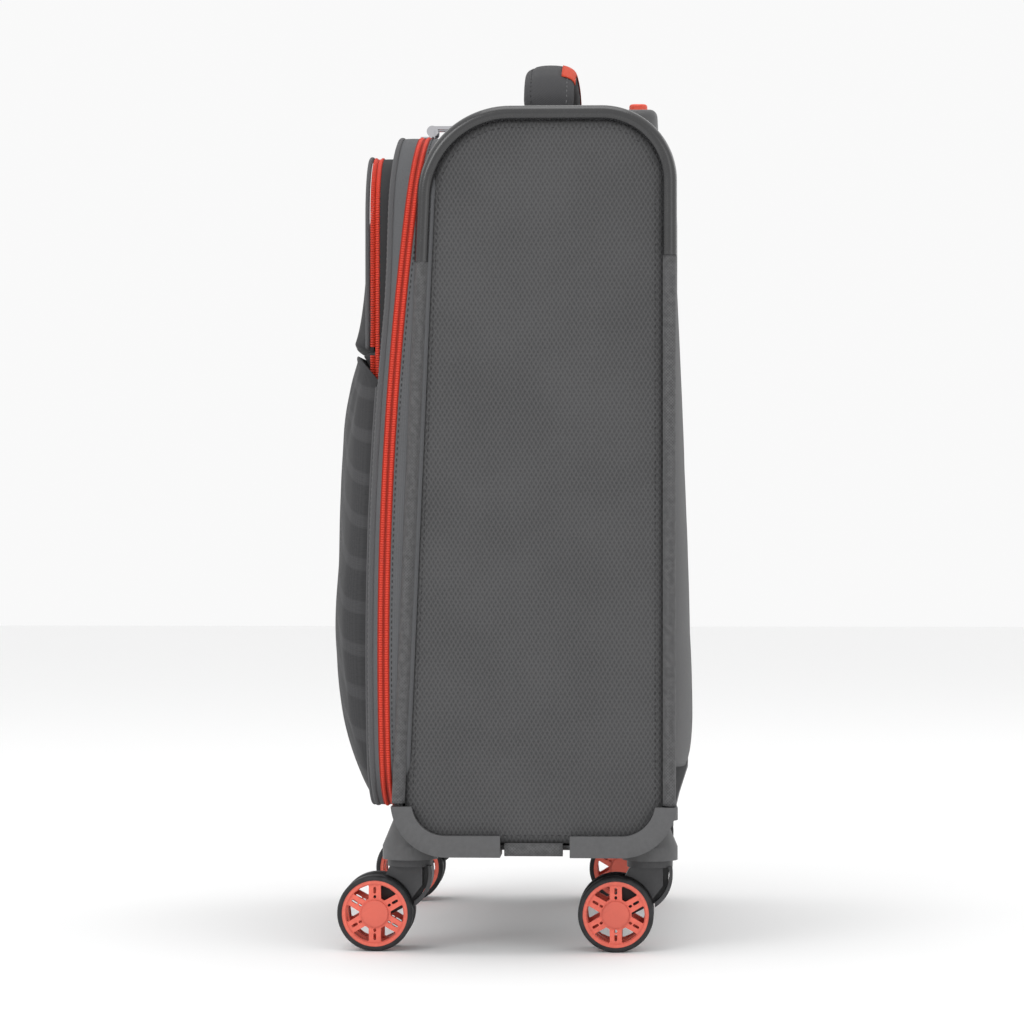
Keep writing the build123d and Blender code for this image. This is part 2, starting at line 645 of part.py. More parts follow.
# ---------------------------------------------------------------- build every node
def build_case():
    top, back, base = make_shell_panels()
    piping, trim = make_piping()
    side = make_side_panel()
    save("side_panels", side, mirrored_x(side))
    save("top_panel", top)
    save("back_panel", back)
    save("bottom_panel", base)
    save("piping", *piping)
    save("corner_trim", *trim)
    save("front_frame", make_front_frame(), clear_of_case(make_hinge_strip(-SEAM_GAP - 6.0, -SEAM_GAP)))
    save("case_zip_row", clear_of_case(make_zip_row(-SEAM_GAP - TOOTH_W, -SEAM_GAP)))
    save("back_lining", make_back_lining())
    save("packing_straps", *make_straps(), *make_strap_buckles())
    save("carry_handle", make_carry_handle(), *make_carry_anchors(), *make_carry_rivets())


def build_trolley():
    save("trolley_bezel", make_bezel())
    save("fixed_tubes", *make_tube_pair(0))
    save("middle_tubes", *make_tube_pair(1))
    save("top_tubes", *make_tube_pair(2))
    save("trolley_grip", make_grip())
    save("trolley_button", make_button())
    save("release_rods", make_release_rods())


def build_casters():
    rim = make_rim()
    tyre = make_tyre()
    for side_name, side_x in (("left", -1), ("right", 1)):
        for end_index, end_name in enumerate(("front", "rear")):
            where = f"{end_name}_{side_name}"
            save(f"caster_housing_{where}", make_caster_housing(side_x, end_index))
            save(f"fork_{where}", make_fork(side_x, end_index))
            save(f"axle_{where}", make_axle(side_x, end_index))
            for wheel_name, wheel_side in (("a", -1), ("b", 1)):
                save(f"rim_{where}_{wheel_name}", place_wheel(rim, side_x, end_index, wheel_side))
                save(f"tyre_{where}_{wheel_name}", place_wheel(tyre, side_x, end_index, wheel_side))


def build_lid():
    save("lid_gusset", make_lid_gusset(), make_hinge_strip(SEAM_GAP, SEAM_GAP + 6.0))
    save("lid_panel", make_lid_panel())
    save("lid_binding", make_lid_binding())
    save("lid_zip_row", make_zip_row(SEAM_GAP, SEAM_GAP + TOOTH_W))
    save("lower_pocket", make_lower_pocket())
    save("pocket_gusset", make_pocket_gusset())
    save("pocket_flap", make_pocket_flap())
    save("badge", make_badge())


def build_sliders():
    for name, x in zip(("left", "right"), MAIN_SLIDER_X):
        place = Pos(x, SEAM_TOP_Y, LID_TOP + TOOTH_H)
        save(f"slider_{name}", place * make_slider(LID_WALL, BAIL_BACK))
        save(f"pull_{name}", place * make_pull(MAIN_PULL, BAIL_BACK))
    slider, pull = make_pocket_slider()
    save("pocket_slider", slider)
    save("pocket_pull", pull)


os.makedirs("parts", exist_ok=True)
build_case()
build_trolley()
build_casters()
build_lid()
build_sliders()
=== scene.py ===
"""Looks of the softside upright suitcase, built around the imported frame.

Lengths in this script are millimetres, and every mesh is scaled to metres as it is made.
+Z is up, the lid faces -Y, and the trolley is at +Y.
"""

import math

import bmesh
import bpy
import numpy as np
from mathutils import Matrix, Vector, noise


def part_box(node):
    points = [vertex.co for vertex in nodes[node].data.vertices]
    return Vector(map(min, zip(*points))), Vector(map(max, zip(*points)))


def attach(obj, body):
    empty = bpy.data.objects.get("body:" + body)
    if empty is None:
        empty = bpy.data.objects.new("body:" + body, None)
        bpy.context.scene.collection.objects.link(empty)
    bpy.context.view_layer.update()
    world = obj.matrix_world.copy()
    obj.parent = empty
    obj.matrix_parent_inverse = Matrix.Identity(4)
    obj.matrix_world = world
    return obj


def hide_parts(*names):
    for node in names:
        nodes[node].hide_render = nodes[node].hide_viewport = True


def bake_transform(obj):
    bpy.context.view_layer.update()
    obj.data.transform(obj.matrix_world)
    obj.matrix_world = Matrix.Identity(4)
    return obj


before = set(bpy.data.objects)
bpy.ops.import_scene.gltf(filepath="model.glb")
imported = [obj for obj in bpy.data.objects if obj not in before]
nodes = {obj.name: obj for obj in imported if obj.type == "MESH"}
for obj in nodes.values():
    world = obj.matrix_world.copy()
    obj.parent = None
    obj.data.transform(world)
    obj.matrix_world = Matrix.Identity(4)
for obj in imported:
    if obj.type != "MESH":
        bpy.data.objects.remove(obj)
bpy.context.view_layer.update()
MM = 0.001


def node_box(name):
    """Lowest and highest corner of a CAD node, in millimetres."""
    low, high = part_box(name)
    return Vector(low) / MM, Vector(high) / MM


# ---------------------------------------------------------------- sizes
SIDES = (("left", -1), ("right", 1))     # names and signs of X of the two sides
SIDE_X = 172.5                 # outer face of a side panel
TOP_Z = 510.0
BASE_Z = 63.0
BACK_Y = 99.0
FRONT_TOP_Y = -49.0            # the case's front edge leans
FRONT_BASE_Y = -68.2
R_TOP_FRONT = 53.0
R_TOP_BACK = 42.0
R_BASE = 30.0
BELLY_Y = 109.0                # the padded back is fullest here
BELLY_TOP_Z = 455.0
BELLY_LIP_Z = 114.0

BACK_PROFILE = ((BELLY_LIP_Z - 2, 108.0), (124.0, 110.8), (145.0, 112.0), (200.0, 110.5), (250.0, 109.0),
                (300.0, 107.0), (400.0, 102.8), (BELLY_TOP_Z + 12, BACK_Y + 0.6))    # (Z, Y) down the middle

PIPING_R = 4.0
PIPING_X = 172.3
PIPING_IN = 1.0
TRIM_R = 4.6
TRIM_LOW_Z = 422.0
GUARD_TOP = 90.0
GUARD_END_Y = (-4.0, 38.0)
PLATE_HALF = 146.0             # half width of the kick plate, between the rear guards

LID_X = 173.0
LID_TOP = 498.0
LID_BASE = 88.5
LID_R_TOP = 45.0
LID_R_BASE = 36.0
LID_DEPTH = 8.5
LID_SWELL = 6.5                # how much deeper the lid is at its top
LID_SWELL_Z = 385.0            # where it starts to grow deeper
SEAM_CENTRE = (2129.18, 181.19)    # centre, in Y and Z, of the arc that the zip follows
SEAM_RADIUS = 2204.07
SEAM_GAP = 0.8
TOOTH_W = 2.5
TOOTH_H = 1.2
TOOTH_PITCH = 1.45
TOOTH_SUNK = 0.25              # how deep the teeth sit in their tape
HINGE_LOW = 138.0
HINGE_HIGH = 444.0

UPPER_X = 160.0
UPPER_BASE = 366.0
UPPER_TOP = 486.0
CREASE_LOW = 347.0             # lowest point of the upper pocket, at its sides
UPPER_R = 38.0
UPPER_R_BASE = 4.0
UPPER_FRONT_Y = -95.5
POCKET_SEAM_Y = -81.0
LOWER_X = 165.0
LOWER_BASE = 90.0
LOWER_TOP = 363.0
LOWER_R = 30.0
LOWER_R_TOP = 9.0
LOWER_PROFILE = ((LOWER_BASE, -93.0), (105.0, -100.5), (125.0, -106.0), (160.0, -111.0), (200.0, -112.6),
                 (276.0, -109.0), (325.0, -106.8), (352.0, -103.6),
                 (LOWER_TOP, -100.8))          # (Z, Y) down its middle
LOWER_PLAN = 14.0              # how far its front curves back at its sides

LINING_Y = 66.0
STRAP_X = 70.0                 # middle of a packing strap
STRAP_LOW = 92.0
STRAP_LENGTH = 374.0
STRAP_ACROSS = (-12.5, -8.0, 0.0, 8.0, 12.5)
BUCKLE_Z = 285.0
NET_X = 138.0                  # half width of the mesh pocket
NET_LOW = 132.0
NET_HEIGHT = 250.0
BACK_CHANNELS = (-92.0, -20.0, 20.0, 92.0)     # sewn lines on each side of the trolley tubes
CARRY_Y = 22.0
CARRY_REACH = 86.0
CARRY_BASE = 511.0
CARRY_RISE = 37.5
CARRY_HALF_WIDTH = 15.7
CARRY_HALF_THICK = 6.8
RED_REACH = 0.62               # share of the handle's arch that the red strip covers


# ---------------------------------------------------------------- outlines
def rounded_loop(corners, radii, arc_step=2.5, line_step=5.0):
    """Points and outward normals of a closed anticlockwise outline with round corners."""
    loop = []
    starts = []
    for index, corner in enumerate(corners):
        here = Vector(corner)
        into = (here - Vector(corners[index - 1])).normalized()
        out = (Vector(corners[(index + 1) % len(corners)]) - here).normalized()
        turn = math.acos(max(-1.0, min(1.0, into.dot(out))))
        reach = radii[index] * math.tan(turn / 2)
        first = here - into * reach
        inward = Vector((-into.y, into.x))
        centre = first + inward * radii[index]
        steps = max(2, round(radii[index] * turn / arc_step))
        arc = []
        for step in range(steps + 1):
            angle = math.atan2(-inward.y, -inward.x) + turn * step / steps
            normal = Vector((math.cos(angle), math.sin(angle)))
            arc.append((centre + normal * radii[index], normal))
        starts.append(arc)
    for index, arc in enumerate(starts):
        loop.extend(arc)
        end, normal = arc[-1]
        target = starts[(index + 1) % len(starts)][0][0]
        steps = max(1, round((target - end).length / line_step))
        for step in range(1, steps):
            loop.append((end.lerp(target, step / steps), normal))
    return loop


def upright_loop(half, low, high, low_radius, high_radius, **steps):
    """Outline in X and Z, the same on both sides of X = 0."""
    corners = ((-half, low), (half, low), (half, high), (-half, high))
    return rounded_loop(corners, (low_radius, low_radius, high_radius, high_radius), **steps)


def offset(loop, grow):
    """The same outline moved outward by grow."""
    return [(point + normal * grow, normal) for point, normal in loop]


def runs(loop, keep):
    """The unbroken stretches of a closed outline whose points pass keep."""
    flags = [keep(point) for point, _ in loop]
    if all(flags):
        return [loop]
    first = next(i for i, flag in enumerate(flags) if not flag)
    found = [[]]
    for step in range(len(loop)):
        index = (first + step) % len(loop)
        if flags[index]:
            found[-1].append(loop[index])
        elif found[-1]:
            found.append([])
    return [stretch for stretch in found if len(stretch) > 1]


def even_steps(stretch, pitch):
    """Points, normals and tangents at equal distances along a stretch of outline."""
    lengths = [(stretch[i + 1][0] - stretch[i][0]).length for i in range(len(stretch) - 1)]
    count = int(sum(lengths) / pitch)
    spacing = sum(lengths) / count
    steps = []
    index = 0
    passed = 0.0
    for step in range(count):
        place = (step + 0.5) * spacing
        while index < len(lengths) - 1 and passed + lengths[index] < place:
            passed += lengths[index]
            index += 1
        part = (place - passed) / lengths[index]
        point = stretch[index][0].lerp(stretch[index + 1][0], part)
        normal = stretch[index][1].lerp(stretch[index + 1][1], part).normalized()
        steps.append((point, normal, Vector((-normal.y, normal.x))))
    return steps


def span_at(loop, height):
    """Smallest and largest first coordinate of an outline at a height."""
    crossings = []
    for index, (point, _) in enumerate(loop):
        after = loop[(index + 1) % len(loop)][0]
        low, high = sorted((point, after), key=lambda p: p.y)
        if low.y <= height < high.y:
            part = (height - low.y) / (high.y - low.y)
            crossings.append(low.x + (high.x - low.x) * part)
    return min(crossings), max(crossings)


def seam_y(z):
    """Y of the zip's middle at a height."""
    return SEAM_CENTRE[0] - math.sqrt(SEAM_RADIUS ** 2 - (z - SEAM_CENTRE[1]) ** 2)


def lid_depth(z):
    """Depth of the lid from the zip to its front edge; it grows towards the top."""
    return LID_DEPTH + LID_SWELL * smooth_step(z, LID_SWELL_Z, LID_TOP)


def smooth_step(value, low, high):
    """0 below low, 1 above high and a soft rise between."""
    share = max(0.0, min(1.0, (value - low) / (high - low)))
    return share * share * (3 - 2 * share)


def smooth_value(points, place):
    """Value at a place on a smooth curve through (place, value) points."""
    places = [p for p, _ in points]
    values = [v for _, v in points]
    slopes = [0.0] * len(points)
    for i in range(len(points)):
        low, high = max(0, i - 1), min(len(points) - 1, i + 1)
        slopes[i] = (values[high] - values[low]) / (places[high] - places[low])
    place = max(places[0], min(places[-1], place))
    i = max(0, min(len(points) - 2, sum(1 for p in places if p <= place) - 1))
    width = places[i + 1] - places[i]
    t = (place - places[i]) / width
    return ((2 * t ** 3 - 3 * t ** 2 + 1) * values[i] + (t ** 3 - 2 * t ** 2 + t) * width * slopes[i]
            + (3 * t ** 2 - 2 * t ** 3) * values[i + 1] + (t ** 3 - t ** 2) * width * slopes[i + 1])


CASE_LOOP = rounded_loop(
    ((FRONT_BASE_Y, BASE_Z), (BACK_Y, BASE_Z), (BACK_Y, TOP_Z), (FRONT_TOP_Y, TOP_Z)),
    (R_BASE, R_BASE, R_TOP_BACK, R_TOP_FRONT))
LID_LOOP = upright_loop(LID_X, LID_BASE, LID_TOP, LID_R_BASE, LID_R_TOP)
UPPER_LOOP = upright_loop(UPPER_X, UPPER_BASE, UPPER_TOP, UPPER_R_BASE, UPPER_R)
POCKET_LOOP = upright_loop(UPPER_X, CREASE_LOW, UPPER_TOP, UPPER_R_BASE, UPPER_R)
BASE_PAD_LOOP = upright_loop(UPPER_X, CREASE_LOW, UPPER_BASE - 0.4, 2.0, 2.0)
LOWER_LOOP = upright_loop(LOWER_X, LOWER_BASE, LOWER_TOP, LOWER_R, LOWER_R_TOP)


def edge_distance(loop, points):
    """Distance of each point from an outline."""
    outline = np.array([tuple(point) for point, _ in loop])
    after = np.roll(outline, -1, axis=0)
    edge = after - outline
    found = []
    for point in points:
        away = np.array(point) - outline
        part = np.clip((away * edge).sum(1) / np.maximum((edge * edge).sum(1), 1e-9), 0, 1)
        found.append(float(np.sqrt(((away - edge * part[:, None]) ** 2).sum(1)).min()))
    return found


# ---------------------------------------------------------------- mesh helpers
def new_piece(name, points, faces, corner_uvs, finish, body):
    """A smooth mesh piece from points in millimetres that rides on a body."""
    mesh = bpy.data.meshes.new(name)
    mesh.from_pydata([Vector(p) * MM for p in points], [], faces)
    if corner_uvs is not None:
        layer = mesh.uv_layers.new(name="UVMap")
        layer.data.foreach_set("uv", [value for pair in corner_uvs for value in pair])
    mesh.shade_smooth()
    mesh.materials.append(finish)
    piece = bpy.data.objects.new(name, mesh)
    bpy.context.scene.collection.objects.link(piece)
    if body:
        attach(piece, body)
    return piece


def front_uv(point):
    """Texture place of a point on a piece that faces -Y or +Y."""
    return point[0] * MM, point[2] * MM


def side_uv(point):
    """Texture place of a point on a piece that faces -X or +X."""
    return point[1] * MM, point[2] * MM


def eased(index, count):
    """From 0 to 1 in count steps that are finer near both ends."""
    return 0.5 - 0.5 * math.cos(math.pi * index / count)


def grid_piece(name, rows, finish, body, slot,
               wrap=False, wrap_across=False, uv=None, caps=False, flip=False):
    """A surface through rows of points; its UVs are distances over the surface in metres."""
    count = len(rows)
    width = len(rows[0])
    points = [point for row in rows for point in row]
    middle = rows[count // 2]
    along = [0.0]
    for j in range(width if wrap_across else width - 1):
        along.append(along[-1] + (Vector(middle[(j + 1) % width]) - Vector(middle[j])).length * MM)
    column = [row[width // 2] for row in rows]
    across = [0.0]
    for i in range(count if wrap else count - 1):
        across.append(across[-1] + (Vector(column[(i + 1) % count]) - Vector(column[i])).length * MM)
    faces = []
    uvs = []
    for i in range(count if wrap else count - 1):
        for j in range(width if wrap_across else width - 1):
            corners = [(i, j), (i, j + 1), (i + 1, j + 1), (i + 1, j)]
            if flip:
                corners.reverse()
            faces.append([(a % count) * width + b % width for a, b in corners])
            if uv:
                uvs.extend(uv(points[(a % count) * width + b % width]) for a, b in corners)
            else:
                uvs.extend((along[b], across[a]) for a, b in corners)
    if caps:
        for row_index in (0, count - 1):
            ring = [row_index * width + j for j in range(width)]
            if (row_index == 0) == flip:
                ring.reverse()
            faces.append(ring[::-1])
            uvs.extend((along[j % width], across[row_index]) for j in range(width))
    return new_piece(name, points, faces, uvs, finish, body)


def sweep_piece(name, stations, section, finish, body, slot, closed=False):
    """A closed section of (a, b) points carried along stations of (origin, a axis, b axis)."""
    rows = [[origin + a_axis * a + b_axis * b for a, b in section] for origin, a_axis, b_axis in stations]
    piece = grid_piece(name, rows, finish, body, slot, wrap=closed, wrap_across=True, caps=not closed)
    tidy_normals(piece)
    return piece


def front_stations(outline, y_of):
    """Stations round an outline in X and Z, at y_of(z), for sweep_piece."""
    return [(Vector((p.x, y_of(p.y), p.y)), Vector((n.x, 0, n.y)), Vector((0, -1, 0))) for p, n in outline]


def tidy_normals(piece):
    """Points every face of a closed mesh outward."""
    work = bmesh.new()
    work.from_mesh(piece.data)
    bmesh.ops.recalc_face_normals(work, faces=work.faces)
    work.to_mesh(piece.data)
    work.free()


def turns(count):
    """Angles of count equal steps round a circle."""
    return [2 * math.pi * i / count for i in range(count)]


def signed_power(value, power):
    """A power of a value's size with the value's own sign; it squares off a circle."""
    return math.copysign(abs(value) ** power, value)


def ripple(x, y, z):
    """Smooth irregular value from about -1 to 1."""
    return noise.noise(Vector((x, y, z)))


def within(value, low, high):
    """A height kept just inside an outline's lowest and highest points."""
    return max(low + 0.05, min(high - 0.05, value))


def circle_section(radius, count=16):
    return [(radius * math.cos(a), radius * math.sin(a)) for a in turns(count)]


def apply_modifiers(piece):
    """Makes a piece's modifiers part of its mesh."""
    bpy.context.view_layer.update()
    graph = bpy.context.evaluated_depsgraph_get()
    mesh = bpy.data.meshes.new_from_object(piece.evaluated_get(graph), preserve_all_data_layers=True,
                                           depsgraph=graph)
    piece.modifiers.clear()
    piece.data = mesh


def thicken(piece, thickness):
    """Gives a surface an equal thickness on both of its sides."""
    solid = piece.modifiers.new("thickness", "SOLIDIFY")
    solid.thickness = thickness * MM
    solid.offset = 0.0
    apply_modifiers(piece)


def prism(loop, place, low, high):
    """A closed prism; place turns an outline point and a depth into a point."""
    count = len(loop)
    points = [place(point, depth) for depth in (low, high) for point, _ in loop]
    faces = [[i, (i + 1) % count, count + (i + 1) % count, count + i] for i in range(count)]
    faces.append(list(range(count))[::-1])
    faces.append([count + i for i in range(count)])
    mesh = bpy.data.meshes.new("cutter")
    mesh.from_pydata([Vector(p) * MM for p in points], [], faces)
    cutter = bpy.data.objects.new("cutter", mesh)
    bpy.context.scene.collection.objects.link(cutter)
    tidy_normals(cutter)
    return cutter


def cut(piece, cutter):
    """Removes a cutter's space from a piece."""
    boolean = piece.modifiers.new("cut", "BOOLEAN")
    boolean.operation = "DIFFERENCE"
    boolean.solver = "EXACT"
    boolean.object = cutter
    apply_modifiers(piece)
    bpy.data.objects.remove(cutter)
    piece.data.shade_smooth()


def sharpen(piece, angle=40):
    """Keeps edges sharper than an angle crisp."""
    piece.data.shade_smooth()
    piece.data.set_sharp_from_angle(angle=math.radians(angle))


def inflate(piece, pinned, cap, pressure=4.0, frames=20):
    """Fills a closed piece like a padded bag by cloth simulation, and caps how far it swells."""
    before = np.array([v.co for v in piece.data.vertices])
    group = piece.vertex_groups.new(name="held")
    group.add(pinned, 1.0, "ADD")
    cloth = piece.modifiers.new("cloth", "CLOTH")
    cloth.settings.vertex_group_mass = "held"
    cloth.settings.use_pressure = True
    cloth.settings.uniform_pressure_force = pressure
    cloth.settings.tension_stiffness = 20
    cloth.settings.compression_stiffness = 20
    cloth.settings.bending_stiffness = 2.0
    cloth.settings.effector_weights.gravity = 0.0
    cloth.point_cache.frame_start = 1
    cloth.point_cache.frame_end = frames
    for number in range(1, frames + 1):
        bpy.context.scene.frame_set(number)
    apply_modifiers(piece)
    bpy.context.scene.frame_set(1)
    after = np.array([v.co for v in piece.data.vertices])
    moved = after - before
    size = np.linalg.norm(moved, axis=1)
    limit = cap * MM
    scale = np.where(size > 1e-9, limit * np.tanh(size / limit) / np.maximum(size, 1e-9), 0.0)
    after = before + moved * scale[:, None]
    piece.data.vertices.foreach_set("co", after.ravel())
    piece.data.shade_smooth()
    piece.vertex_groups.clear()


def subdivide(piece):
    smooth = piece.modifiers.new("smooth", "SUBSURF")
    smooth.levels = smooth.render_levels = 1


def round_edges(piece, width, angle=35, segments=2):
    """Small rounded edges, as moulded or cast parts have."""
    bevel = piece.modifiers.new("edges", "BEVEL")
    bevel.width = width * MM
    bevel.segments = segments
    bevel.limit_method = "ANGLE"
    bevel.angle_limit = math.radians(angle)
    bevel.harden_normals = True
    bevel.use_clamp_overlap = True


def dress(name, finish):
    """Gives a carried-over CAD node its finish."""
    piece = nodes[name]
    for material_slot in piece.material_slots:
        material_slot.material = finish
    return piece


# ---------------------------------------------------------------- finishes
class Finish:
    """A procedural material, built node by node."""

    def __init__(self, name, rough, metal=0.0, sheen=0.0, coat=0.0, specular=0.5):
        self.material = bpy.data.materials.new(name)
        self.material.use_nodes = True
        self.tree = self.material.node_tree
        self.shader = self.tree.nodes["Principled BSDF"]
        self.put(self.shader, "Roughness", rough)
        self.put(self.shader, "Metallic", metal)
        self.put(self.shader, "Sheen Weight", sheen)
        self.put(self.shader, "Sheen Roughness", 0.5)
        self.put(self.shader, "Coat Weight", coat)
        self.put(self.shader, "Coat Roughness", 0.15)
        self.put(self.shader, "Specular IOR Level", specular)

    def put(self, node, socket, value):
        if isinstance(value, bpy.types.NodeSocket):
            self.tree.links.new(value, node.inputs[socket])
        else:
            node.inputs[socket].default_value = value

    def math(self, operation, first, second=0.0, third=0.0):
        node = self.tree.nodes.new("ShaderNodeMath")
        node.operation = operation
        for index, value in enumerate((first, second, third)):
            self.put(node, index, value)
        return node.outputs[0]

    def place(self, kind="UV"):
        """The three coordinates in millimetres."""
        source = self.tree.nodes.new("ShaderNodeTexCoord")
        scale = self.tree.nodes.new("ShaderNodeVectorMath")
        scale.operation = "SCALE"
        self.put(scale, "Vector", source.outputs[kind])
        self.put(scale, "Scale", 1 / MM)
        split = self.tree.nodes.new("ShaderNodeSeparateXYZ")
        self.put(split, 0, scale.outputs[0])
        return scale.outputs[0], split.outputs[0], split.outputs[1], split.outputs[2]

    def noise(self, vector, size, detail=3.0):
        """Cloudy value from 0 to 1 whose blobs are about size millimetres."""
        node = self.tree.nodes.new("ShaderNodeTexNoise")
        self.put(node, "Vector", vector)
        self.put(node, "Scale", 1.0 / size)
        self.put(node, "Detail", detail)
        return node.outputs[0]

    def cells(self, vector, size, feature="F1"):
        node = self.tree.nodes.new("ShaderNodeTexVoronoi")
        node.feature = feature
        self.put(node, "Vector", vector)
        self.put(node, "Scale", 1.0 / size)
        return node.outputs["Distance"]

    def spread(self, value, low, high, to_low=0.0, to_high=1.0):
        node = self.tree.nodes.new("ShaderNodeMapRange")
        node.interpolation_type = "SMOOTHSTEP"
        for socket, number in zip(range(5), (value, low, high, to_low, to_high)):
            self.put(node, socket, number)
        return node.outputs[0]

    def mix(self, factor, first, second):
        node = self.tree.nodes.new("ShaderNodeMix")
        node.data_type = "RGBA"
        self.put(node, 0, factor)
        for index, colour in ((6, first), (7, second)):
            self.put(node, index, colour if isinstance(colour, bpy.types.NodeSocket) else (*colour, 1.0))
        return node.outputs[2]

    def wave(self, value, pitch):
        """Sine from 0 to 1 that repeats every pitch millimetres."""
        turned = self.math("SINE", self.math("MULTIPLY", value, 2 * math.pi / pitch))
        return self.math("MULTIPLY_ADD", turned, 0.5, 0.5)

    def triangle(self, value, pitch):
        """Straight rise and fall from 0 to 1 every pitch millimetres."""
        return self.math("MULTIPLY", self.math("PINGPONG", value, pitch / 2), 2 / pitch)

    def colour(self, value):
        self.put(self.shader, "Base Color", value)

    def rough(self, value):
        self.put(self.shader, "Roughness", value)

    def bump(self, height, distance, strength=1.0):
        """Raises the surface by height, which is 0 to 1, times a distance in millimetres."""
        node = self.tree.nodes.new("ShaderNodeBump")
        self.put(node, "Height", height)
        self.put(node, "Distance", distance * MM)
        self.put(node, "Strength", strength)
        self.put(self.shader, "Normal", node.outputs[0])


def shade(colour, factor):
    return tuple(min(1.0, part * factor) for part in colour)


def plain_threads(finish, u, v, pitch):
    """Over-and-under threads of a plain weave, from 0 to 1."""
    warp = finish.wave(u, pitch)
    weft = finish.wave(v, pitch)
    return finish.math("MULTIPLY_ADD", finish.math("SUBTRACT", warp, weft), 0.5, 0.5)


def diamond_fabric(name, colour, cell=(2.7, 4.8), strength=0.55, sheen=0.06):
    """Dobby weave: staggered dark lozenges in a lighter diamond net."""
    finish = Finish(name, 0.85, sheen=sheen, specular=0.2)
    vector, u, v, _ = finish.place()
    slant = finish.math("ADD", finish.triangle(u, cell[0]), finish.triangle(v, cell[1]))
    net = finish.spread(finish.math("ABSOLUTE", finish.math("SUBTRACT", slant, 1.0)), 0.66, 0.1)
    lean = finish.math("SUBTRACT", finish.triangle(u, cell[0]), finish.triangle(v, cell[1]))
    dash = finish.spread(finish.math("ABSOLUTE", lean), 0.62, 0.86)
    threads = plain_threads(finish, u, v, 0.45)
    cloud = finish.noise(vector, 60.0, 4.0)
    fleck = finish.noise(vector, 1.1, 2.0)
    tone = finish.math("MULTIPLY_ADD", net, strength * 0.5, 1.0 - strength * 0.62)
    tone = finish.math("MULTIPLY_ADD", dash, strength * 0.6, tone)
    tone = finish.math("MULTIPLY", tone, finish.spread(cloud, 0.3, 0.7, 0.93, 1.07))
    tone = finish.math("MULTIPLY", tone, finish.spread(fleck, 0.25, 0.75, 0.86, 1.14))
    finish.colour(finish.mix(tone, (0.0, 0.0, 0.0), shade(colour, 1.0)))
    height = finish.math("MULTIPLY_ADD", net, 0.7, finish.math("MULTIPLY", threads, 0.3))
    finish.bump(height, 0.22, 0.8)
    return finish.material


def woven_fabric(name, colour, pitch=0.7, slope=0.0, sheen=0.06, contrast=0.25, chevron=False):
    """Plain or twill cloth; with chevron it has wide tone-on-tone zigzag stripes."""
    finish = Finish(name, 0.88, sheen=sheen, specular=0.2)
    vector, u, v, _ = finish.place()
    if slope:
        threads = finish.wave(finish.math("MULTIPLY_ADD", u, slope, v), pitch)
    else:
        threads = plain_threads(finish, u, v, pitch)
    cloud = finish.noise(vector, 70.0, 4.0)
    fleck = finish.noise(vector, 0.9, 2.0)
    tone = finish.math("MULTIPLY_ADD", threads, contrast, 1.0 - contrast * 0.5)
    tone = finish.math("MULTIPLY", tone, finish.spread(cloud, 0.3, 0.7, 0.94, 1.06))
    tone = finish.math("MULTIPLY", tone, finish.spread(fleck, 0.25, 0.75, 0.88, 1.12))
    base = finish.mix(tone, (0.0, 0.0, 0.0), colour)
    height = threads
    if chevron:
        slanted = finish.math("MULTIPLY_ADD", finish.math("ABSOLUTE", u), 0.7, v)
        stripe = finish.spread(finish.triangle(slanted, 26.0), 0.64, 0.78)
        rib = finish.wave(finish.math("MULTIPLY_ADD", finish.math("ABSOLUTE", u), 0.7, v), 1.3)
        light = finish.mix(tone, (0.0, 0.0, 0.0), shade(colour, 1.32))
        base = finish.mix(stripe, base, light)
        height = finish.math("MULTIPLY_ADD", finish.math("MULTIPLY", stripe, rib), 0.6, height)
    finish.colour(base)
    finish.bump(height, 0.2, 0.7)
    return finish.material


def herringbone(name, colour, pitch=0.8, band=2.2):
    """Narrow tape woven in a zigzag rib."""
    finish = Finish(name, 0.8, sheen=0.08, specular=0.25)
    vector, u, v, _ = finish.place()
    zigzag = finish.math("MULTIPLY", finish.triangle(u, band), band * 0.6)
    ribs = finish.wave(finish.math("ADD", v, zigzag), pitch)
    fleck = finish.noise(vector, 0.7, 2.0)
    tone = finish.math("MULTIPLY", finish.spread(ribs, 0.1, 0.9, 0.72, 1.2),
                       finish.spread(fleck, 0.3, 0.7, 0.9, 1.1))
    finish.colour(finish.mix(finish.math("MULTIPLY", tone, 0.8), (0.0, 0.0, 0.0), shade(colour, 1.25)))
    finish.bump(ribs, 0.2, 0.8)
    return finish.material


def braid(name, colour, pitch=1.9):
    """Textile piping: plaited strands with a soft crinkle."""
    finish = Finish(name, 0.82, sheen=0.08, specular=0.25)
    vector, u, v, _ = finish.place()
    one = finish.wave(finish.math("ADD", u, v), pitch)
    two = finish.wave(finish.math("SUBTRACT", u, v), pitch)
    plait = finish.math("MAXIMUM", one, two)
    crinkle = finish.noise(vector, 3.2, 3.0)
    tone = finish.math("MULTIPLY", finish.spread(plait, 0.2, 1.0, 0.7, 1.1),
                       finish.spread(crinkle, 0.3, 0.7, 0.82, 1.18))
    finish.colour(finish.mix(finish.math("MULTIPLY", tone, 0.8), (0.0, 0.0, 0.0), shade(colour, 1.25)))
    finish.bump(finish.math("MULTIPLY_ADD", crinkle, 1.2, plait), 0.3, 0.8)
    return finish.material


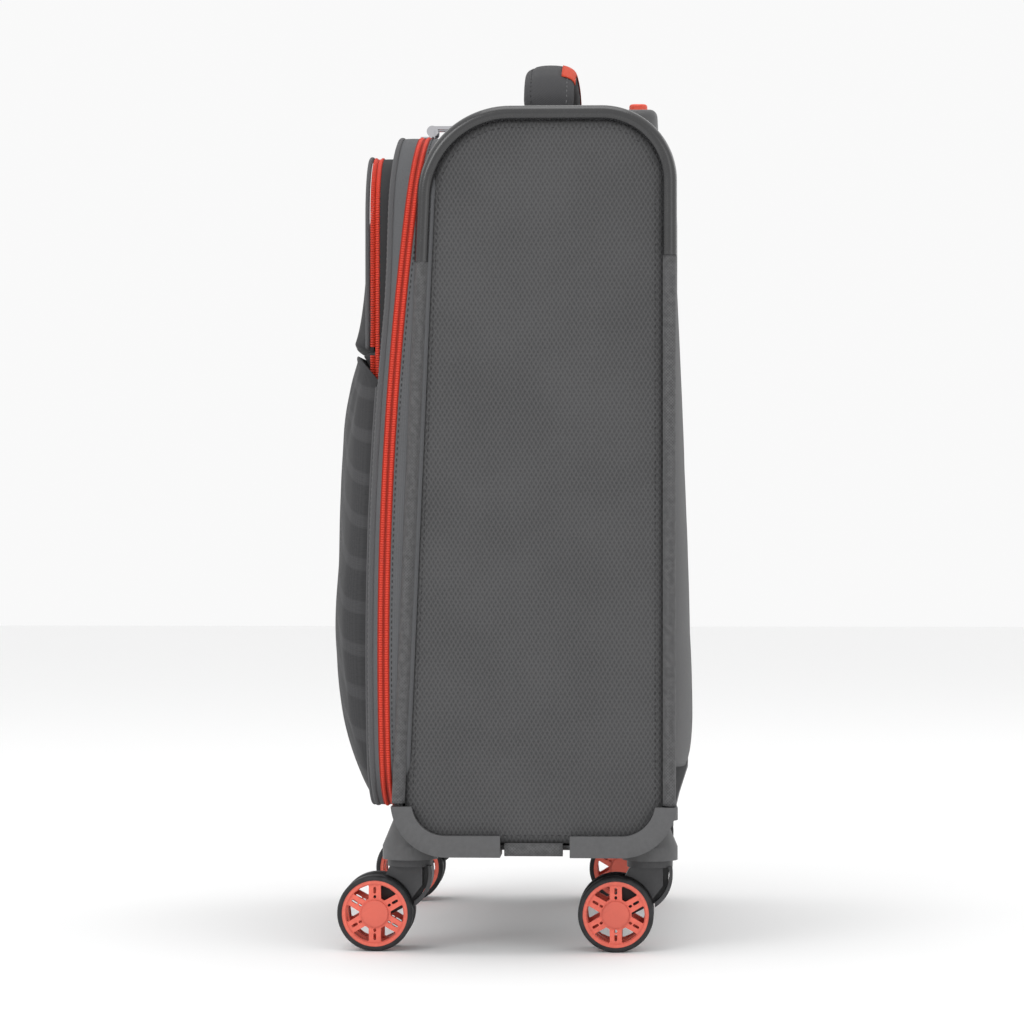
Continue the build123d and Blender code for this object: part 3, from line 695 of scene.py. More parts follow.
def moulded(name, colour, rough=0.5, grain=0.35, coat=0.0, wear=1.35, kind="Object"):
    """Moulded plastic with a fine grain, slightly rubbed along its edges."""
    finish = Finish(name, rough, coat=coat, specular=0.45)
    vector, _, _, _ = finish.place(kind)
    pits = finish.cells(vector, grain * 2)
    cloud = finish.noise(vector, 35.0, 3.0)
    geometry = finish.tree.nodes.new("ShaderNodeNewGeometry")
    edge = finish.spread(geometry.outputs["Pointiness"], 0.52, 0.6)
    scuff = finish.math("MULTIPLY", edge, finish.noise(vector, 2.5, 4.0))
    base = finish.mix(finish.spread(cloud, 0.3, 0.7), shade(colour, 0.92), shade(colour, 1.06))
    finish.colour(finish.mix(scuff, base, shade(colour, wear)))
    finish.rough(finish.spread(finish.noise(vector, 4.0, 3.0), 0.3, 0.7, rough - 0.05, rough + 0.06))
    finish.bump(pits, 0.06, 0.5)
    return finish.material


def rubber(name, colour):
    finish = Finish(name, 0.62, specular=0.4)
    vector, _, _, _ = finish.place("Object")
    dust = finish.noise(vector, 5.0, 4.0)
    finish.colour(finish.mix(finish.spread(dust, 0.35, 0.75), colour, shade(colour, 2.0)))
    finish.bump(finish.noise(vector, 0.5, 2.0), 0.05, 0.4)
    return finish.material


def metal(name, colour, rough, brushed=0.0):
    """Bare or plated metal; brushed draws fine lines along Z."""
    finish = Finish(name, rough, metal=1.0)
    vector, x, y, z = finish.place("Object")
    finish.colour(finish.mix(finish.noise(vector, 9.0, 3.0), shade(colour, 0.9), shade(colour, 1.08)))
    if brushed:
        stretch = finish.tree.nodes.new("ShaderNodeCombineXYZ")
        finish.put(stretch, 0, x)
        finish.put(stretch, 1, y)
        finish.put(stretch, 2, finish.math("MULTIPLY", z, 0.02))
        lines = finish.noise(stretch.outputs[0], 0.25, 2.0)
        finish.bump(lines, 0.03, brushed)
        finish.rough(finish.spread(lines, 0.3, 0.7, rough - 0.06, rough + 0.08))
    else:
        finish.rough(finish.spread(finish.noise(vector, 3.0, 3.0), 0.3, 0.7, rough * 0.8, rough * 1.3))
    return finish.material


def net_fabric(name, colour, cell=3.4):
    """Open mesh: small hexagon-like holes with see-through middles."""
    finish = Finish(name, 0.7, sheen=0.2)
    vector, _, _, _ = finish.place()
    gaps = finish.cells(vector, cell, "DISTANCE_TO_EDGE")
    finish.colour(finish.mix(finish.noise(vector, 2.0), shade(colour, 0.85), shade(colour, 1.15)))
    finish.put(finish.shader, "Alpha", finish.spread(gaps, 0.16, 0.2, 1.0, 0.0))
    return finish.material


FINISHES = {
    "side_fabric": diamond_fabric("side_fabric", (0.092, 0.092, 0.094)),
    "gusset_fabric": woven_fabric("gusset_fabric", (0.112, 0.114, 0.119), pitch=0.8),
    "back_fabric": woven_fabric("back_fabric", (0.135, 0.135, 0.137), pitch=1.1, slope=1.0),
    "front_fabric": woven_fabric("front_fabric", (0.05, 0.05, 0.052), pitch=0.8, chevron=True),
    "flap_fabric": woven_fabric("flap_fabric", (0.05, 0.05, 0.052), pitch=0.8),
    "binding": herringbone("binding", (0.1, 0.1, 0.104)),
    "piping_textile": braid("piping_textile", (0.096, 0.096, 0.098)),
    "trim_gloss": moulded("trim_gloss", (0.02, 0.02, 0.021), rough=0.24, grain=0.2, coat=0.5),
    "zip_red": moulded("zip_red", (0.60, 0.043, 0.02), rough=0.42, grain=0.2, wear=1.2),
    "tape_red": woven_fabric("tape_red", (0.36, 0.026, 0.014), pitch=0.6, contrast=0.4),
    "lining": woven_fabric("lining", (0.16, 0.16, 0.165), pitch=0.6, slope=0.6, sheen=0.15),
    "net": net_fabric("net", (0.03, 0.03, 0.032)),
    "strap_webbing": herringbone("strap_webbing", (0.06, 0.06, 0.062), pitch=1.2, band=4.0),
    "handle_fabric": woven_fabric("handle_fabric", (0.062, 0.062, 0.065), pitch=0.9, slope=0.5),
    "handle_red": woven_fabric("handle_red", (0.62, 0.075, 0.038), pitch=0.8, slope=0.5),
    "thread": woven_fabric("thread", (0.05, 0.05, 0.052), pitch=0.5, slope=1.4),
    "thread_light": woven_fabric("thread_light", (0.22, 0.22, 0.225), pitch=0.5, slope=1.4),
    "moulded_plastic": moulded("moulded_plastic", (0.078, 0.078, 0.08), rough=0.52),
    "fork_plastic": moulded("fork_plastic", (0.037, 0.037, 0.039), rough=0.45),
    "badge_plastic": moulded("badge_plastic", (0.12, 0.12, 0.125), rough=0.3, coat=0.4),
    "button_red": moulded("button_red", (0.72, 0.085, 0.045), rough=0.4),
    "rim_red": moulded("rim_red", (0.66, 0.125, 0.085), rough=0.48),
    "tyre_black": rubber("tyre_black", (0.014, 0.014, 0.015)),
    "tube_aluminium": metal("tube_aluminium", (0.62, 0.63, 0.65), 0.34, brushed=0.5),
    "steel": metal("steel", (0.5, 0.5, 0.52), 0.3),
    "chrome": metal("chrome", (0.5, 0.5, 0.52), 0.14),
}
SLOTS = {"flap_fabric": "front_fabric", "tape_red": "zip_red", "net": "lining", "handle_red": "handle_fabric",
         "thread": "binding", "thread_light": "binding"}


def slot_of(finish_name):
    return SLOTS.get(finish_name, finish_name)


def fabric_piece(name, rows, finish_name, body, **options):
    return grid_piece(name, rows, FINISHES[finish_name], body, slot_of(finish_name), **options)


# ---------------------------------------------------------------- stitches and zips
FINE_STITCH = {"length": 2.2, "gap": 1.3, "radius": 0.3}


def stitch_row(name, places, finish_name, body, length=2.6, gap=1.5, radius=0.36):
    """A run of short thread stitches; places are points on a line with their outward normals."""
    points = []
    faces = []
    uvs = []
    sides = 5
    line = [Vector(p) for p, _ in places]
    lengths = [(line[i + 1] - line[i]).length for i in range(len(line) - 1)]
    total = sum(lengths)
    place = gap
    index = 0
    passed = 0.0
    while place + length < total:
        while index < len(lengths) - 1 and passed + lengths[index] < place:
            passed += lengths[index]
            index += 1
        along = (line[index + 1] - line[index]).normalized()
        start = line[index] + along * (place - passed)
        out = Vector(places[index][1]).normalized()
        across = along.cross(out)
        base = len(points)
        for part, size, lift in ((0.0, 0.5, -0.6), (0.25, 1.0, 0.5), (0.75, 1.0, 0.5), (1.0, 0.5, -0.6)):
            middle = start + along * (length * part) + out * (radius * lift)
            for side in range(sides):
                angle = 2 * math.pi * side / sides
                points.append(middle + (across * math.cos(angle) + out * math.sin(angle)) * radius * size)
        for ring in range(3):
            for side in range(sides):
                a = base + ring * sides + side
                b = base + ring * sides + (side + 1) % sides
                faces.append([a, b, b + sides, a + sides])
                uvs.extend([(0, 0), (MM, 0), (MM, MM), (0, MM)])
        faces.append([base + side for side in range(sides)][::-1])
        faces.append([base + 3 * sides + side for side in range(sides)])
        uvs.extend([(0, 0)] * (2 * sides))
        place += length + gap
    piece = new_piece(name, points, faces, uvs, FINISHES[finish_name], body)
    tidy_normals(piece)
    return piece


def tooth_row(name, stretch, near, far, line_y, body):
    """Coil zip teeth: rounded bars across the row, from near to far in front of line_y(z)."""
    points = []
    faces = []
    arch = ((-0.5, 0.0), (-0.44, 0.62), (0.0, 1.0), (0.44, 0.62), (0.5, 0.0))
    ends = ((0.0, 0.30), (0.28, 0.45), (0.5, 0.95), (0.85, 1.0), (1.0, 0.5))
    width = TOOTH_PITCH * 0.94
    for point, normal, tangent in even_steps(stretch, TOOTH_PITCH):
        base = len(points)
        y = line_y(point.y)
        for part, height in ends:
            depth = y - near - (far - near) * part
            for along, up in arch:
                raised = (TOOTH_H + 0.1) * up * height - TOOTH_SUNK
                spot = point + tangent * (along * width) + normal * raised
                points.append((spot.x, depth, spot.y))
        for ring in range(len(ends) - 1):
            for side in range(len(arch)):
                a = base + ring * len(arch) + side
                b = base + ring * len(arch) + (side + 1) % len(arch)
                faces.append([a, b, b + len(arch), a + len(arch)])
        faces.append([base + side for side in range(len(arch))][::-1])
        faces.append([base + (len(ends) - 1) * len(arch) + side for side in range(len(arch))])
    piece = new_piece(name, points, faces, None, FINISHES["zip_red"], body)
    tidy_normals(piece)
    return piece


def band_rows(stretch, columns):
    """Rows across a band round an outline; columns(point) gives (Y, lift) pairs."""
    rows = []
    for point, normal in stretch:
        row = []
        for y, lift in columns(point):
            spot = point + normal * lift
            row.append((spot.x, y, spot.y))
        rows.append(row)
    return rows


# ---------------------------------------------------------------- case fabric
def case_front_y(z):
    """Y of the case's front edge at a height."""
    return span_at(CASE_LOOP, min(TOP_Z - 0.2, max(BASE_Z + 0.2, z)))[0]


def seam_roll(distance, depth=2.2, reach=2.4):
    """How far fabric dips beside a seam."""
    return -depth * math.exp(-distance / reach)


def side_panel_pieces():
    loop = offset(CASE_LOOP, -(PIPING_R + PIPING_IN + 0.4))
    low = min(point.y for point, _ in loop)
    high = max(point.y for point, _ in loop)
    row_count, column_count = 110, 44
    for name, side_x in SIDES:
        spots = []
        for i in range(row_count + 1):
            z = low + (high - low) * eased(i, row_count)
            near, far = span_at(loop, within(z, low, high))
            for j in range(column_count + 1):
                part = eased(j, column_count)
                spots.append((near + (far - near) * part, z))
        away = edge_distance(loop, spots)
        rows = []
        for i in range(row_count + 1):
            row = []
            for j in range(column_count + 1):
                index = i * (column_count + 1) + j
                y, z = spots[index]
                d = away[index]
                soft = ripple(y / 55, z / 75, side_x * 3) * min(1.0, d / 25) * 0.8
                pucker = ripple(y / 5, z / 5, 9) * math.exp(-d / 6) * 0.35
                crown = 2.0 * (1 - math.exp(-d / 40))
                x = SIDE_X - 2.2 + seam_roll(d) + crown + soft + pucker
                row.append((side_x * x, y, z))
            rows.append(row)
        piece = fabric_piece(f"side_fabric_{name}", rows, "side_fabric", "case",
                             uv=side_uv, flip=side_x < 0)
        thicken(piece, 2.4)
        if side_x < 0:
            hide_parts("side_panels")
        stitch_line = offset(CASE_LOOP, -(PIPING_R + PIPING_IN + 4.6))
        places = [((side_x * (SIDE_X - 1.1 + seam_roll(4.2)), point.x, point.y), (side_x, 0, 0))
                  for point, _ in stitch_line]
        stitch_row(f"side_stitches_{name}", places + places[:1], "thread", "case")


def wrap_piece(name, stretch, finish_name, crown=1.4):
    """Fabric that wraps the top or bottom, from piping to piping."""
    half = SIDE_X - 2.0
    rows = []
    columns = 48
    for point, normal in stretch:
        row = []
        for j in range(columns + 1):
            x = -half * math.cos(math.pi * j / columns)
            edge = half - abs(x)
            lift = seam_roll(edge, 2.0, 2.6) + crown * (1 - (x / half) ** 4)
            lift += ripple(x / 60, point.x / 60, point.y / 60) * min(1.0, edge / 25) * 0.6
            spot = point + normal * (lift - 0.8)
            row.append((x, spot.x, spot.y))
        rows.append(row)
    piece = fabric_piece(name, rows, finish_name, "case")
    thicken(piece, 1.8)
    return piece


def bezel_cutter():
    low, high = node_box("trolley_bezel")
    corners = ((low.x, low.y), (high.x, low.y), (high.x, high.y), (low.x, high.y))
    loop = rounded_loop(corners, (12.0,) * 4)
    return prism(loop, lambda p, depth: (p.x, p.y, depth), low.z - 40, high.z + 40)


def opening_cutter(low_y, high_y, shrink=1.4):
    loop = offset(LID_LOOP, -shrink)
    return prism(loop, lambda p, depth: (p.x, depth, p.y), low_y, high_y)


def top_and_bottom():
    top_run = runs(CASE_LOOP, lambda p: p.y > BELLY_TOP_Z - 10)[0]
    top = wrap_piece("top_fabric", top_run, "side_fabric")
    cut(top, bezel_cutter())
    cut(top, opening_cutter(-90.0, -18.0))
    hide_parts("top_panel")
    base_run = runs(CASE_LOOP, lambda p: p.y < BELLY_LIP_Z + 8 or (p.y < LID_BASE + 46 and p.x < 0))[0]
    base = wrap_piece("bottom_fabric", base_run, "side_fabric", crown=0.6)
    cut(base, opening_cutter(-90.0, -40.0))
    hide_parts("bottom_panel")


def back_profile(z):
    """Y of the padded back down its middle."""
    return smooth_value(BACK_PROFILE, z)


def back_piece():
    """Padded back with two sewn channels over the trolley tubes, and a welt along its top."""
    half = SIDE_X - 2.0
    rows = []
    for i in range(91):
        z = BELLY_LIP_Z + (BELLY_TOP_Z + 6 - BELLY_LIP_Z) * i / 90
        row = []
        for j in range(97):
            x = -half * math.cos(math.pi * j / 96)
            edge = half - abs(x)
            full = back_profile(z) - BACK_Y
            swell = full * (1 - math.exp(-edge / 9)) + seam_roll(edge, 1.6, 2.4)
            for line in BACK_CHANNELS:
                swell -= 1.5 * math.exp(-abs(x - line) / 3.2) * min(1.0, (BELLY_TOP_Z + 6 - z) / 12)
            soft = ripple(x / 38, z / 60, 4) * 0.7 * min(1.0, edge / 25)
            row.append((x, BACK_Y + swell + soft - 0.9, z))
        rows.append(row)
    back = fabric_piece("padded_back", rows, "back_fabric", "case", uv=front_uv)
    thicken(back, 1.8)
    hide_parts("back_panel")
    welt_z = BELLY_TOP_Z + 5
    welt = [(Vector((x, BACK_Y + 0.6, welt_z)), Vector((0, 0, 1)), Vector((0, 1, 0)))
            for x in np.linspace(3 - half, half - 3, 60)]
    sweep_piece("back_welt", welt, circle_section(2.0, 10), FINISHES["binding"], "case", "binding")
    for number, line in enumerate(BACK_CHANNELS):
        places = [((line, back_profile(z) - 1.3, z), (0, 1, 0))
                  for z in range(int(BELLY_LIP_Z) + 6, int(BELLY_TOP_Z) - 4, 4)]
        stitch_row(f"back_stitches_{number}", places, "thread", "case")


def kick_plate():
    """Moulded plate low on the back, with upright ribs."""
    half = PLATE_HALF
    profile = [(BACK_Y + 1.2, BELLY_LIP_Z + 7), (BELLY_Y - 0.6, BELLY_LIP_Z + 5),
               (BELLY_Y + 0.4, BELLY_LIP_Z + 2), (BELLY_Y - 0.4, BELLY_LIP_Z - 2),
               (BELLY_Y - 5.5, 96.0), (BACK_Y + 1.6, 84.0), (BACK_Y - 1.5, 74.0),
               (BACK_Y - 9.0, 65.0), (BACK_Y - 17.0, 61.6), (BACK_Y - 17.0, 65.0), (BACK_Y - 8.0, 69.0),
               (BACK_Y - 2.5, 78.0), (BACK_Y + 0.2, 96.0), (BACK_Y + 0.2, BELLY_LIP_Z)]
    rows = []
    ribbed = [-half + 8 + (2 * half - 16) * i / 60 for i in range(61)]
    for x in (-half, -half + 1.5, *ribbed, half - 1.5, half):
        inward = 1.0 if abs(x) == half else 0.0
        rib = 0.7 if round((x + half) / 8) % 2 else 0.0
        middle = Vector((BACK_Y, 96.0))
        row = []
        for index, (y, z) in enumerate(profile):
            raised = rib if 2 < index < 7 else 0.0
            spot = Vector((y + raised, z)).lerp(middle, 0.04 * inward)
            row.append((x, spot.x, spot.y))
        rows.append(row)
    plate = fabric_piece("kick_plate", rows, "moulded_plastic", "case", wrap_across=True, caps=True)
    tidy_normals(plate)
    sharpen(plate, 30)


def case_beads():
    """Textile piping below and the thicker moulded arch above, on both sides."""
    path = offset(CASE_LOOP, -PIPING_IN)

    def textile(point):
        clear = point.y > GUARD_TOP + 0.5 or GUARD_END_Y[0] < point.x < GUARD_END_Y[1]
        return clear and point.y < TRIM_LOW_Z + 4

    def side_stations(stretch, side_x):
        return [(Vector((side_x * PIPING_X, p.x, p.y)), Vector((0, n.x, n.y)), Vector((side_x, 0, 0)))
                for p, n in stretch]

    for name, side_x in SIDES:
        for number, stretch in enumerate(runs(path, textile)):
            sweep_piece(f"piping_{name}_{number}", side_stations(stretch, side_x),
                                    circle_section(PIPING_R), FINISHES["piping_textile"], "case",
                                    "piping_textile")
        stations = side_stations(runs(path, lambda p: p.y > TRIM_LOW_Z - 3)[0], side_x)
        section = [(TRIM_R * math.cos(a) * (0.96 + 0.04 * math.cos(3 * a)), TRIM_R * math.sin(a))
                   for a in turns(24)]
        trim = sweep_piece(f"trim_{name}", stations, section, FINISHES["trim_gloss"], "case", "trim_gloss")
        sharpen(trim, 60)
        if side_x < 0:
            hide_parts("piping")
            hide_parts("corner_trim")


def front_band():
    """The case's fabric band between the piping and the zip, with a row of stitches beside the zip."""
    def columns(point):
        front = seam_y(point.y) + SEAM_GAP + 0.2
        back = max(case_front_y(point.y) + 7.0, front + 6.0)
        cells = []
        for j in range(9):
            part = j / 8
            lift = 0.15 * math.sin(math.pi * part) - (0.9 if j == 8 else 0.0)
            cells.append((front + (back - front) * part, lift - 0.6))
        return cells

    rows = band_rows(LID_LOOP, columns)
    band = fabric_piece("case_zip_band", rows, "gusset_fabric", "case", wrap=True)
    thicken(band, 1.2)
    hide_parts("front_frame")
    width, length = flat_size(rows + rows[:1])
    places = [((p.x + n.x * 0.1, seam_y(p.y) + SEAM_GAP + TOOTH_W + 1.6, p.y + n.y * 0.1), (n.x, 0, n.y))
              for p, n in LID_LOOP]
    stitch_row("case_zip_stitches", places + places[:1], "thread", "case", **FINE_STITCH)


def band_area(rows, wrap):
    """Area of a surface in square metres."""
    total = 0.0
    count = len(rows)
    for i in range(count if wrap else count - 1):
        for j in range(len(rows[0]) - 1):
            a = Vector(rows[i][j])
            b = Vector(rows[(i + 1) % count][j])
            c = Vector(rows[i][j + 1])
            total += (b - a).cross(c - a).length
    return total * MM * MM


def zip_stretch(loop):
    """The lid outline without its hinge side."""
    return runs(loop, lambda p: not (p.x < -LID_X + 1 and HINGE_LOW - 2 < p.y < HINGE_HIGH + 2))[0]


def main_zip():
    dense = upright_loop(LID_X, LID_BASE, LID_TOP, LID_R_BASE, LID_R_TOP, arc_step=1.2, line_step=2.5)
    stretch = zip_stretch(dense)
    for name, body, sign, node in (("case", "case", -1, "case_zip_row"), ("lid", "lid", 1, "lid_zip_row")):
        near, far = sign * 0.12, sign * (SEAM_GAP + TOOTH_W - 0.35)
        row = tooth_row(f"{name}_zip_teeth", stretch, near, far, seam_y, body)
        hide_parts(node)
        tape_far = sign * (SEAM_GAP + TOOTH_W + 0.3)

        def columns(point, near=near, tape_far=tape_far):
            y = seam_y(point.y)
            return [(y - near / 2, -0.1), (y - (near + tape_far) / 2, 0.18), (y - tape_far, 0.12)]

        rows = band_rows(stretch, columns)
        tape = fabric_piece(f"{name}_zip_tape", rows, "tape_red", body)
        thicken(tape, 0.5)


def lining_tub():
    """Lining inside the case: four walls and a back in one sheet, a little slack."""
    ring = offset(LID_LOOP, -6.0)
    rows = []
    for part in (0.02, 0.12, 0.3, 0.5, 0.7, 0.88, 0.96, 1.0):
        row = []
        for point, normal in ring:
            front = max(seam_y(point.y) + 4.0, -66.0)
            y = front + (LINING_Y - 2 - front) * part
            slack = ripple(point.x / 40, y / 30, point.y / 40) * 1.4
            tuck = 4.0 * max(0.0, part - 0.88) / 0.12
            spot = point - normal * (tuck + max(0.0, slack) * math.sin(math.pi * part))
            row.append((spot.x, y, spot.y))
        rows.append(row)
    middle = Vector((0.0, (LID_TOP + LID_BASE) / 2))
    for shrink in (0.97, 0.9, 0.78, 0.62, 0.44, 0.25, 0.1):
        row = []
        for point, normal in ring:
            spot = middle + (point - normal * 4.0 - middle) * shrink
            slack = ripple(spot.x / 50, 7, spot.y / 50) * 0.9
            row.append((spot.x, LINING_Y + slack, spot.y))
        rows.append(row)
    tub = fabric_piece("case_lining", rows, "lining", "case", wrap_across=True, caps=False,
                       uv=lambda p: (p[0] * MM + p[1] * MM, p[2] * MM))
    thicken(tub, 0.9)
    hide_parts("back_lining")
    return tub


def packing_straps():
    """Two webbing straps across the lining, each closed by a moulded buckle."""
    for name, side_x in SIDES:
        rows = []
        for i in range(61):
            z = STRAP_LOW + STRAP_LENGTH * i / 60
            sag = 1.3 * math.sin(math.pi * i / 60) + 0.5 * ripple(side_x, 0, z / 30)
            buckle = 2.0 * math.exp(-((z - BUCKLE_Z) / 24) ** 2)
            y = LINING_Y - 3.4 - sag - buckle
            rows.append([(side_x * STRAP_X + x, y, z) for x in STRAP_ACROSS])
        strap = fabric_piece(f"packing_strap_{name}", rows, "strap_webbing", "case")
        thicken(strap, 1.2)
        if side_x < 0:
            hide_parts("packing_straps")
        buckle_piece(f"strap_buckle_{name}", side_x * STRAP_X)


def buckle_piece(name, x_middle):
    """Side-release buckle: two rounded halves with a waist between them."""
    rows = []
    outline = ((-19, 13.5), (-17, 15.5), (-8, 15.8), (-5, 12.5), (0, 11.8),
               (5, 12.5), (8, 15.0), (17, 13.8), (19, 12))      # (along, half width)
    for along, half in outline:
        row = []
        for i in range(24):
            angle = 2 * math.pi * i / 24
            across = signed_power(math.cos(angle), 0.5) * half
            half_depth = 3.4 if abs(along) < 18 else 2.2
            deep = signed_power(math.sin(angle), 0.7) * half_depth
            row.append((x_middle + across, LINING_Y - 9.2 + deep, BUCKLE_Z + along))
        rows.append(row)
    buckle = fabric_piece(name, rows, "fork_plastic", "case", wrap_across=True, caps=True)
    tidy_normals(buckle)
    subdivide(buckle)


# ---------------------------------------------------------------- carry handle
def carry_station(t):
    """Centre, outward normal and tangent of the handle's arch at t, from -1 to 1."""
    def spot(s):
        angle = math.pi * (0.5 - s / 2)
        power = 2 / 3.1
        x = CARRY_REACH * signed_power(math.cos(angle), power)
        z = CARRY_BASE + CARRY_RISE * math.sin(angle) ** power
        return Vector((x, CARRY_Y, z))
    tangent = (spot(min(1.0, t + 0.004)) - spot(max(-1.0, t - 0.004))).normalized()
    return spot(t), Vector((-tangent.z, 0, tangent.x)), tangent


def carry_handle():
    """Padded grip with a red lining strip along its back edge, sewn to two anchor plates."""
    count = 72
    rows = []
    strip = []
    seams = {-1: [], 1: []}
    for i in range(count + 1):
        t = -1 + 2 * i / count
        origin, normal, _ = carry_station(t)
        end = min(1.0, (1 - abs(t)) / 0.16)
        width = CARRY_HALF_WIDTH * (0.9 + 0.1 * end)
        thick = CARRY_HALF_THICK * (0.42 + 0.58 * end ** 0.7)
        thick += 0.3 * ripple(t * 9, 3, 5)
        row = []
        for j in range(36):
            angle = 2 * math.pi * j / 36
            across = width * signed_power(math.cos(angle), 0.86)
            up = thick * signed_power(math.sin(angle), 0.95)
            up -= math.copysign(0.6, up) * math.exp(-((abs(across) - width * 0.72) / 1.2) ** 2)
            row.append(origin + Vector((0, across, 0)) + normal * up)
        rows.append(row)
        patch = []
        for angle in (0.0, 0.12, 0.3, 0.5, 0.7, 0.9, 1.12):
            across = (width + 0.5) * math.cos(angle) ** 0.86
            up = (thick + 0.5) * math.sin(angle) ** 0.95
            patch.append(origin + Vector((0, across, 0)) + normal * up)
        if abs(t) < RED_REACH:
            strip.append(patch)
        for side in (-1, 1):
            seam_up = thick * math.sqrt(max(0.0, 1 - 0.72 ** 2)) - 0.35
            seams[side].append((origin + Vector((0, side * width * 0.72, 0)) + normal * seam_up, normal))
    grip = fabric_piece("carry_handle_grip", rows, "handle_fabric", "case", wrap_across=True, caps=True)
    tidy_normals(grip)
    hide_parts("carry_handle")
    red = fabric_piece("carry_handle_red", strip, "handle_red", "case")
    thicken(red, 0.6)
    flat_size(strip)
    stitch_row("carry_stitches_front", seams[-1][4:-4], "thread", "case", length=2.4, gap=1.4)
    stitch_row("carry_stitches_back", seams[1][4:-4], "thread_light", "case", length=2.4, gap=1.4)
    for name, side_x in SIDES:
        carry_anchor(name, side_x)


def flat_size(rows):
    """Width and length in metres of a strip given by its rows."""
    middle = len(rows[0]) // 2
    length = sum((Vector(rows[i + 1][middle]) - Vector(rows[i][middle])).length for i in range(len(rows) - 1))
    return band_area(rows, False) / (length * MM), length * MM


def carry_anchor(name, side_x):
    """Moulded anchor under one end of the handle, with its rivet."""
    middle_x = side_x * (CARRY_REACH + 4)
    corners = ((middle_x - 22, CARRY_Y - 19), (middle_x + 22, CARRY_Y - 19),
               (middle_x + 22, CARRY_Y + 19), (middle_x - 22, CARRY_Y + 19))
    loop = rounded_loop(corners, (9.0,) * 4, line_step=40.0)
    rows = []
    for inset, z in ((0.0, TOP_Z - 0.6), (0.0, TOP_Z + 2.0), (0.5, TOP_Z + 2.8), (1.6, TOP_Z + 3.2),
                     (4.0, TOP_Z + 3.2), (4.6, TOP_Z + 2.6), (7.0, TOP_Z + 2.6)):
        rows.append([(p.x - n.x * inset, p.y - n.y * inset, z) for p, n in loop])
    anchor = fabric_piece(f"carry_anchor_{name}", rows, "moulded_plastic", "case",
                          wrap_across=True, caps=True)
    tidy_normals(anchor)
    sharpen(anchor, 35)
    rings = []
    for radius, rise in ((4.6, 2.4), (4.6, 3.6), (3.9, 4.4), (2.4, 4.9), (0.6, 5.1)):
        rings.append([(middle_x + side_x * 13 + radius * math.cos(a), CARRY_Y + radius * math.sin(a),
                       TOP_Z + rise) for a in turns(28)])
    rivet = fabric_piece(f"carry_rivet_{name}", rings, "steel", "case", wrap_across=True, caps=True)
    tidy_normals(rivet)


# ---------------------------------------------------------------- lid
def lid_gusset_and_binding():
    def columns(point):
        y = seam_y(point.y)
        near, far = SEAM_GAP + 0.2, lid_depth(point.y) - 1.6
        return [(y - near - (far - near) * j / 6, 0.25 * math.sin(math.pi * j / 6) - 0.6) for j in range(7)]

    rows = band_rows(LID_LOOP, columns)
    band = fabric_piece("lid_gusset_band", rows, "gusset_fabric", "lid", wrap=True)
    thicken(band, 1.2)
    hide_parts("lid_gusset")
    section = [(-0.4, -2.3), (0.35, -2.2), (0.75, -1.6), (0.85, -0.8), (0.75, 0.0), (0.2, 0.75),
               (-0.8, 1.1), (-2.2, 1.25), (-3.8, 1.2), (-5.2, 0.9), (-5.6, 0.5), (-5.2, 0.0),
               (-3.0, 0.1), (-1.2, -0.2), (-0.5, -1.1)]
    stations = front_stations(LID_LOOP, lambda z: seam_y(z) - lid_depth(z))
    tape = sweep_piece("lid_binding_tape", stations, section, FINISHES["binding"], "lid", "binding",
                       closed=True)
    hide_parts("lid_binding")
    places = [((p.x - n.x * 4.3, seam_y(p.y) - lid_depth(p.y) - 1.15, p.y - n.y * 4.3), (0, -1, 0))
              for p, n in LID_LOOP]
    stitch_row("binding_stitches", places + places[:1], "thread_light", "lid",
               **FINE_STITCH)


def lid_sheet_rows(inset, depth, wobble=0.0):
    """Rows of the lid's face at a depth in front of the zip."""
    loop = offset(LID_LOOP, -inset)
    low, high = LID_BASE + inset, LID_TOP - inset
    rows = []
    for i in range(61):
        z = low + (high - low) * eased(i, 60)
        near, far = span_at(loop, within(z, low, high))
        row = []
        for j in range(41):
            x = near + (far - near) * eased(j, 40)
            slack = wobble * ripple(x / 45, z / 45, depth)
            row.append((x, seam_y(z) - lid_depth(z) + depth + slack, z))
        rows.append(row)
    return rows


def lid_face():
    face = fabric_piece("lid_face", lid_sheet_rows(3.0, 0.6, 0.2), "flap_fabric", "lid",
                        uv=front_uv)
    thicken(face, 1.4)
    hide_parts("lid_panel")
    rows = lid_sheet_rows(2.6, 3.1, 0.5)
    lining = fabric_piece("lid_lining", rows, "lining", "lid", uv=front_uv)
    thicken(lining, 0.8)
    band_area(rows, False)
    mesh_pocket()


def mesh_pocket():
    """Net pocket on the inside of the lid, with an elastic top edge."""
    rows = []
    for i in range(33):
        z = NET_LOW + NET_HEIGHT * i / 32
        row = []
        for j in range(33):
            x = -NET_X + 2 * NET_X * j / 32
            edge = min((NET_X - abs(x)) / 14, (z - NET_LOW) / 14, 1.0)
            slack = 2.6 * edge + 0.8 * ripple(x / 20, 3, z / 30) * edge
            row.append((x, seam_y(z) - lid_depth(z) + 3.8 + slack, z))
        rows.append(row)
    net = fabric_piece("mesh_pocket", rows, "net", "lid", uv=front_uv)
    thicken(net, 0.3)
    left = [row[0] for row in reversed(rows)]
    right = [row[-1] for row in rows]
    edges = {"top": list(rows[-1]), "border": left + rows[0][1:-1] + right}
    for name, line in edges.items():
        stations = [(Vector(p), Vector((0, 1, 0)), sideways(line, index)) for index, p in enumerate(line)]
        section = [(-0.7, -3.0), (0.5, -3.2), (0.9, 0.0), (0.5, 3.2), (-0.7, 3.0)]
        sweep_piece(f"mesh_{name}_tape", stations, section, FINISHES["binding"], "lid", "binding")


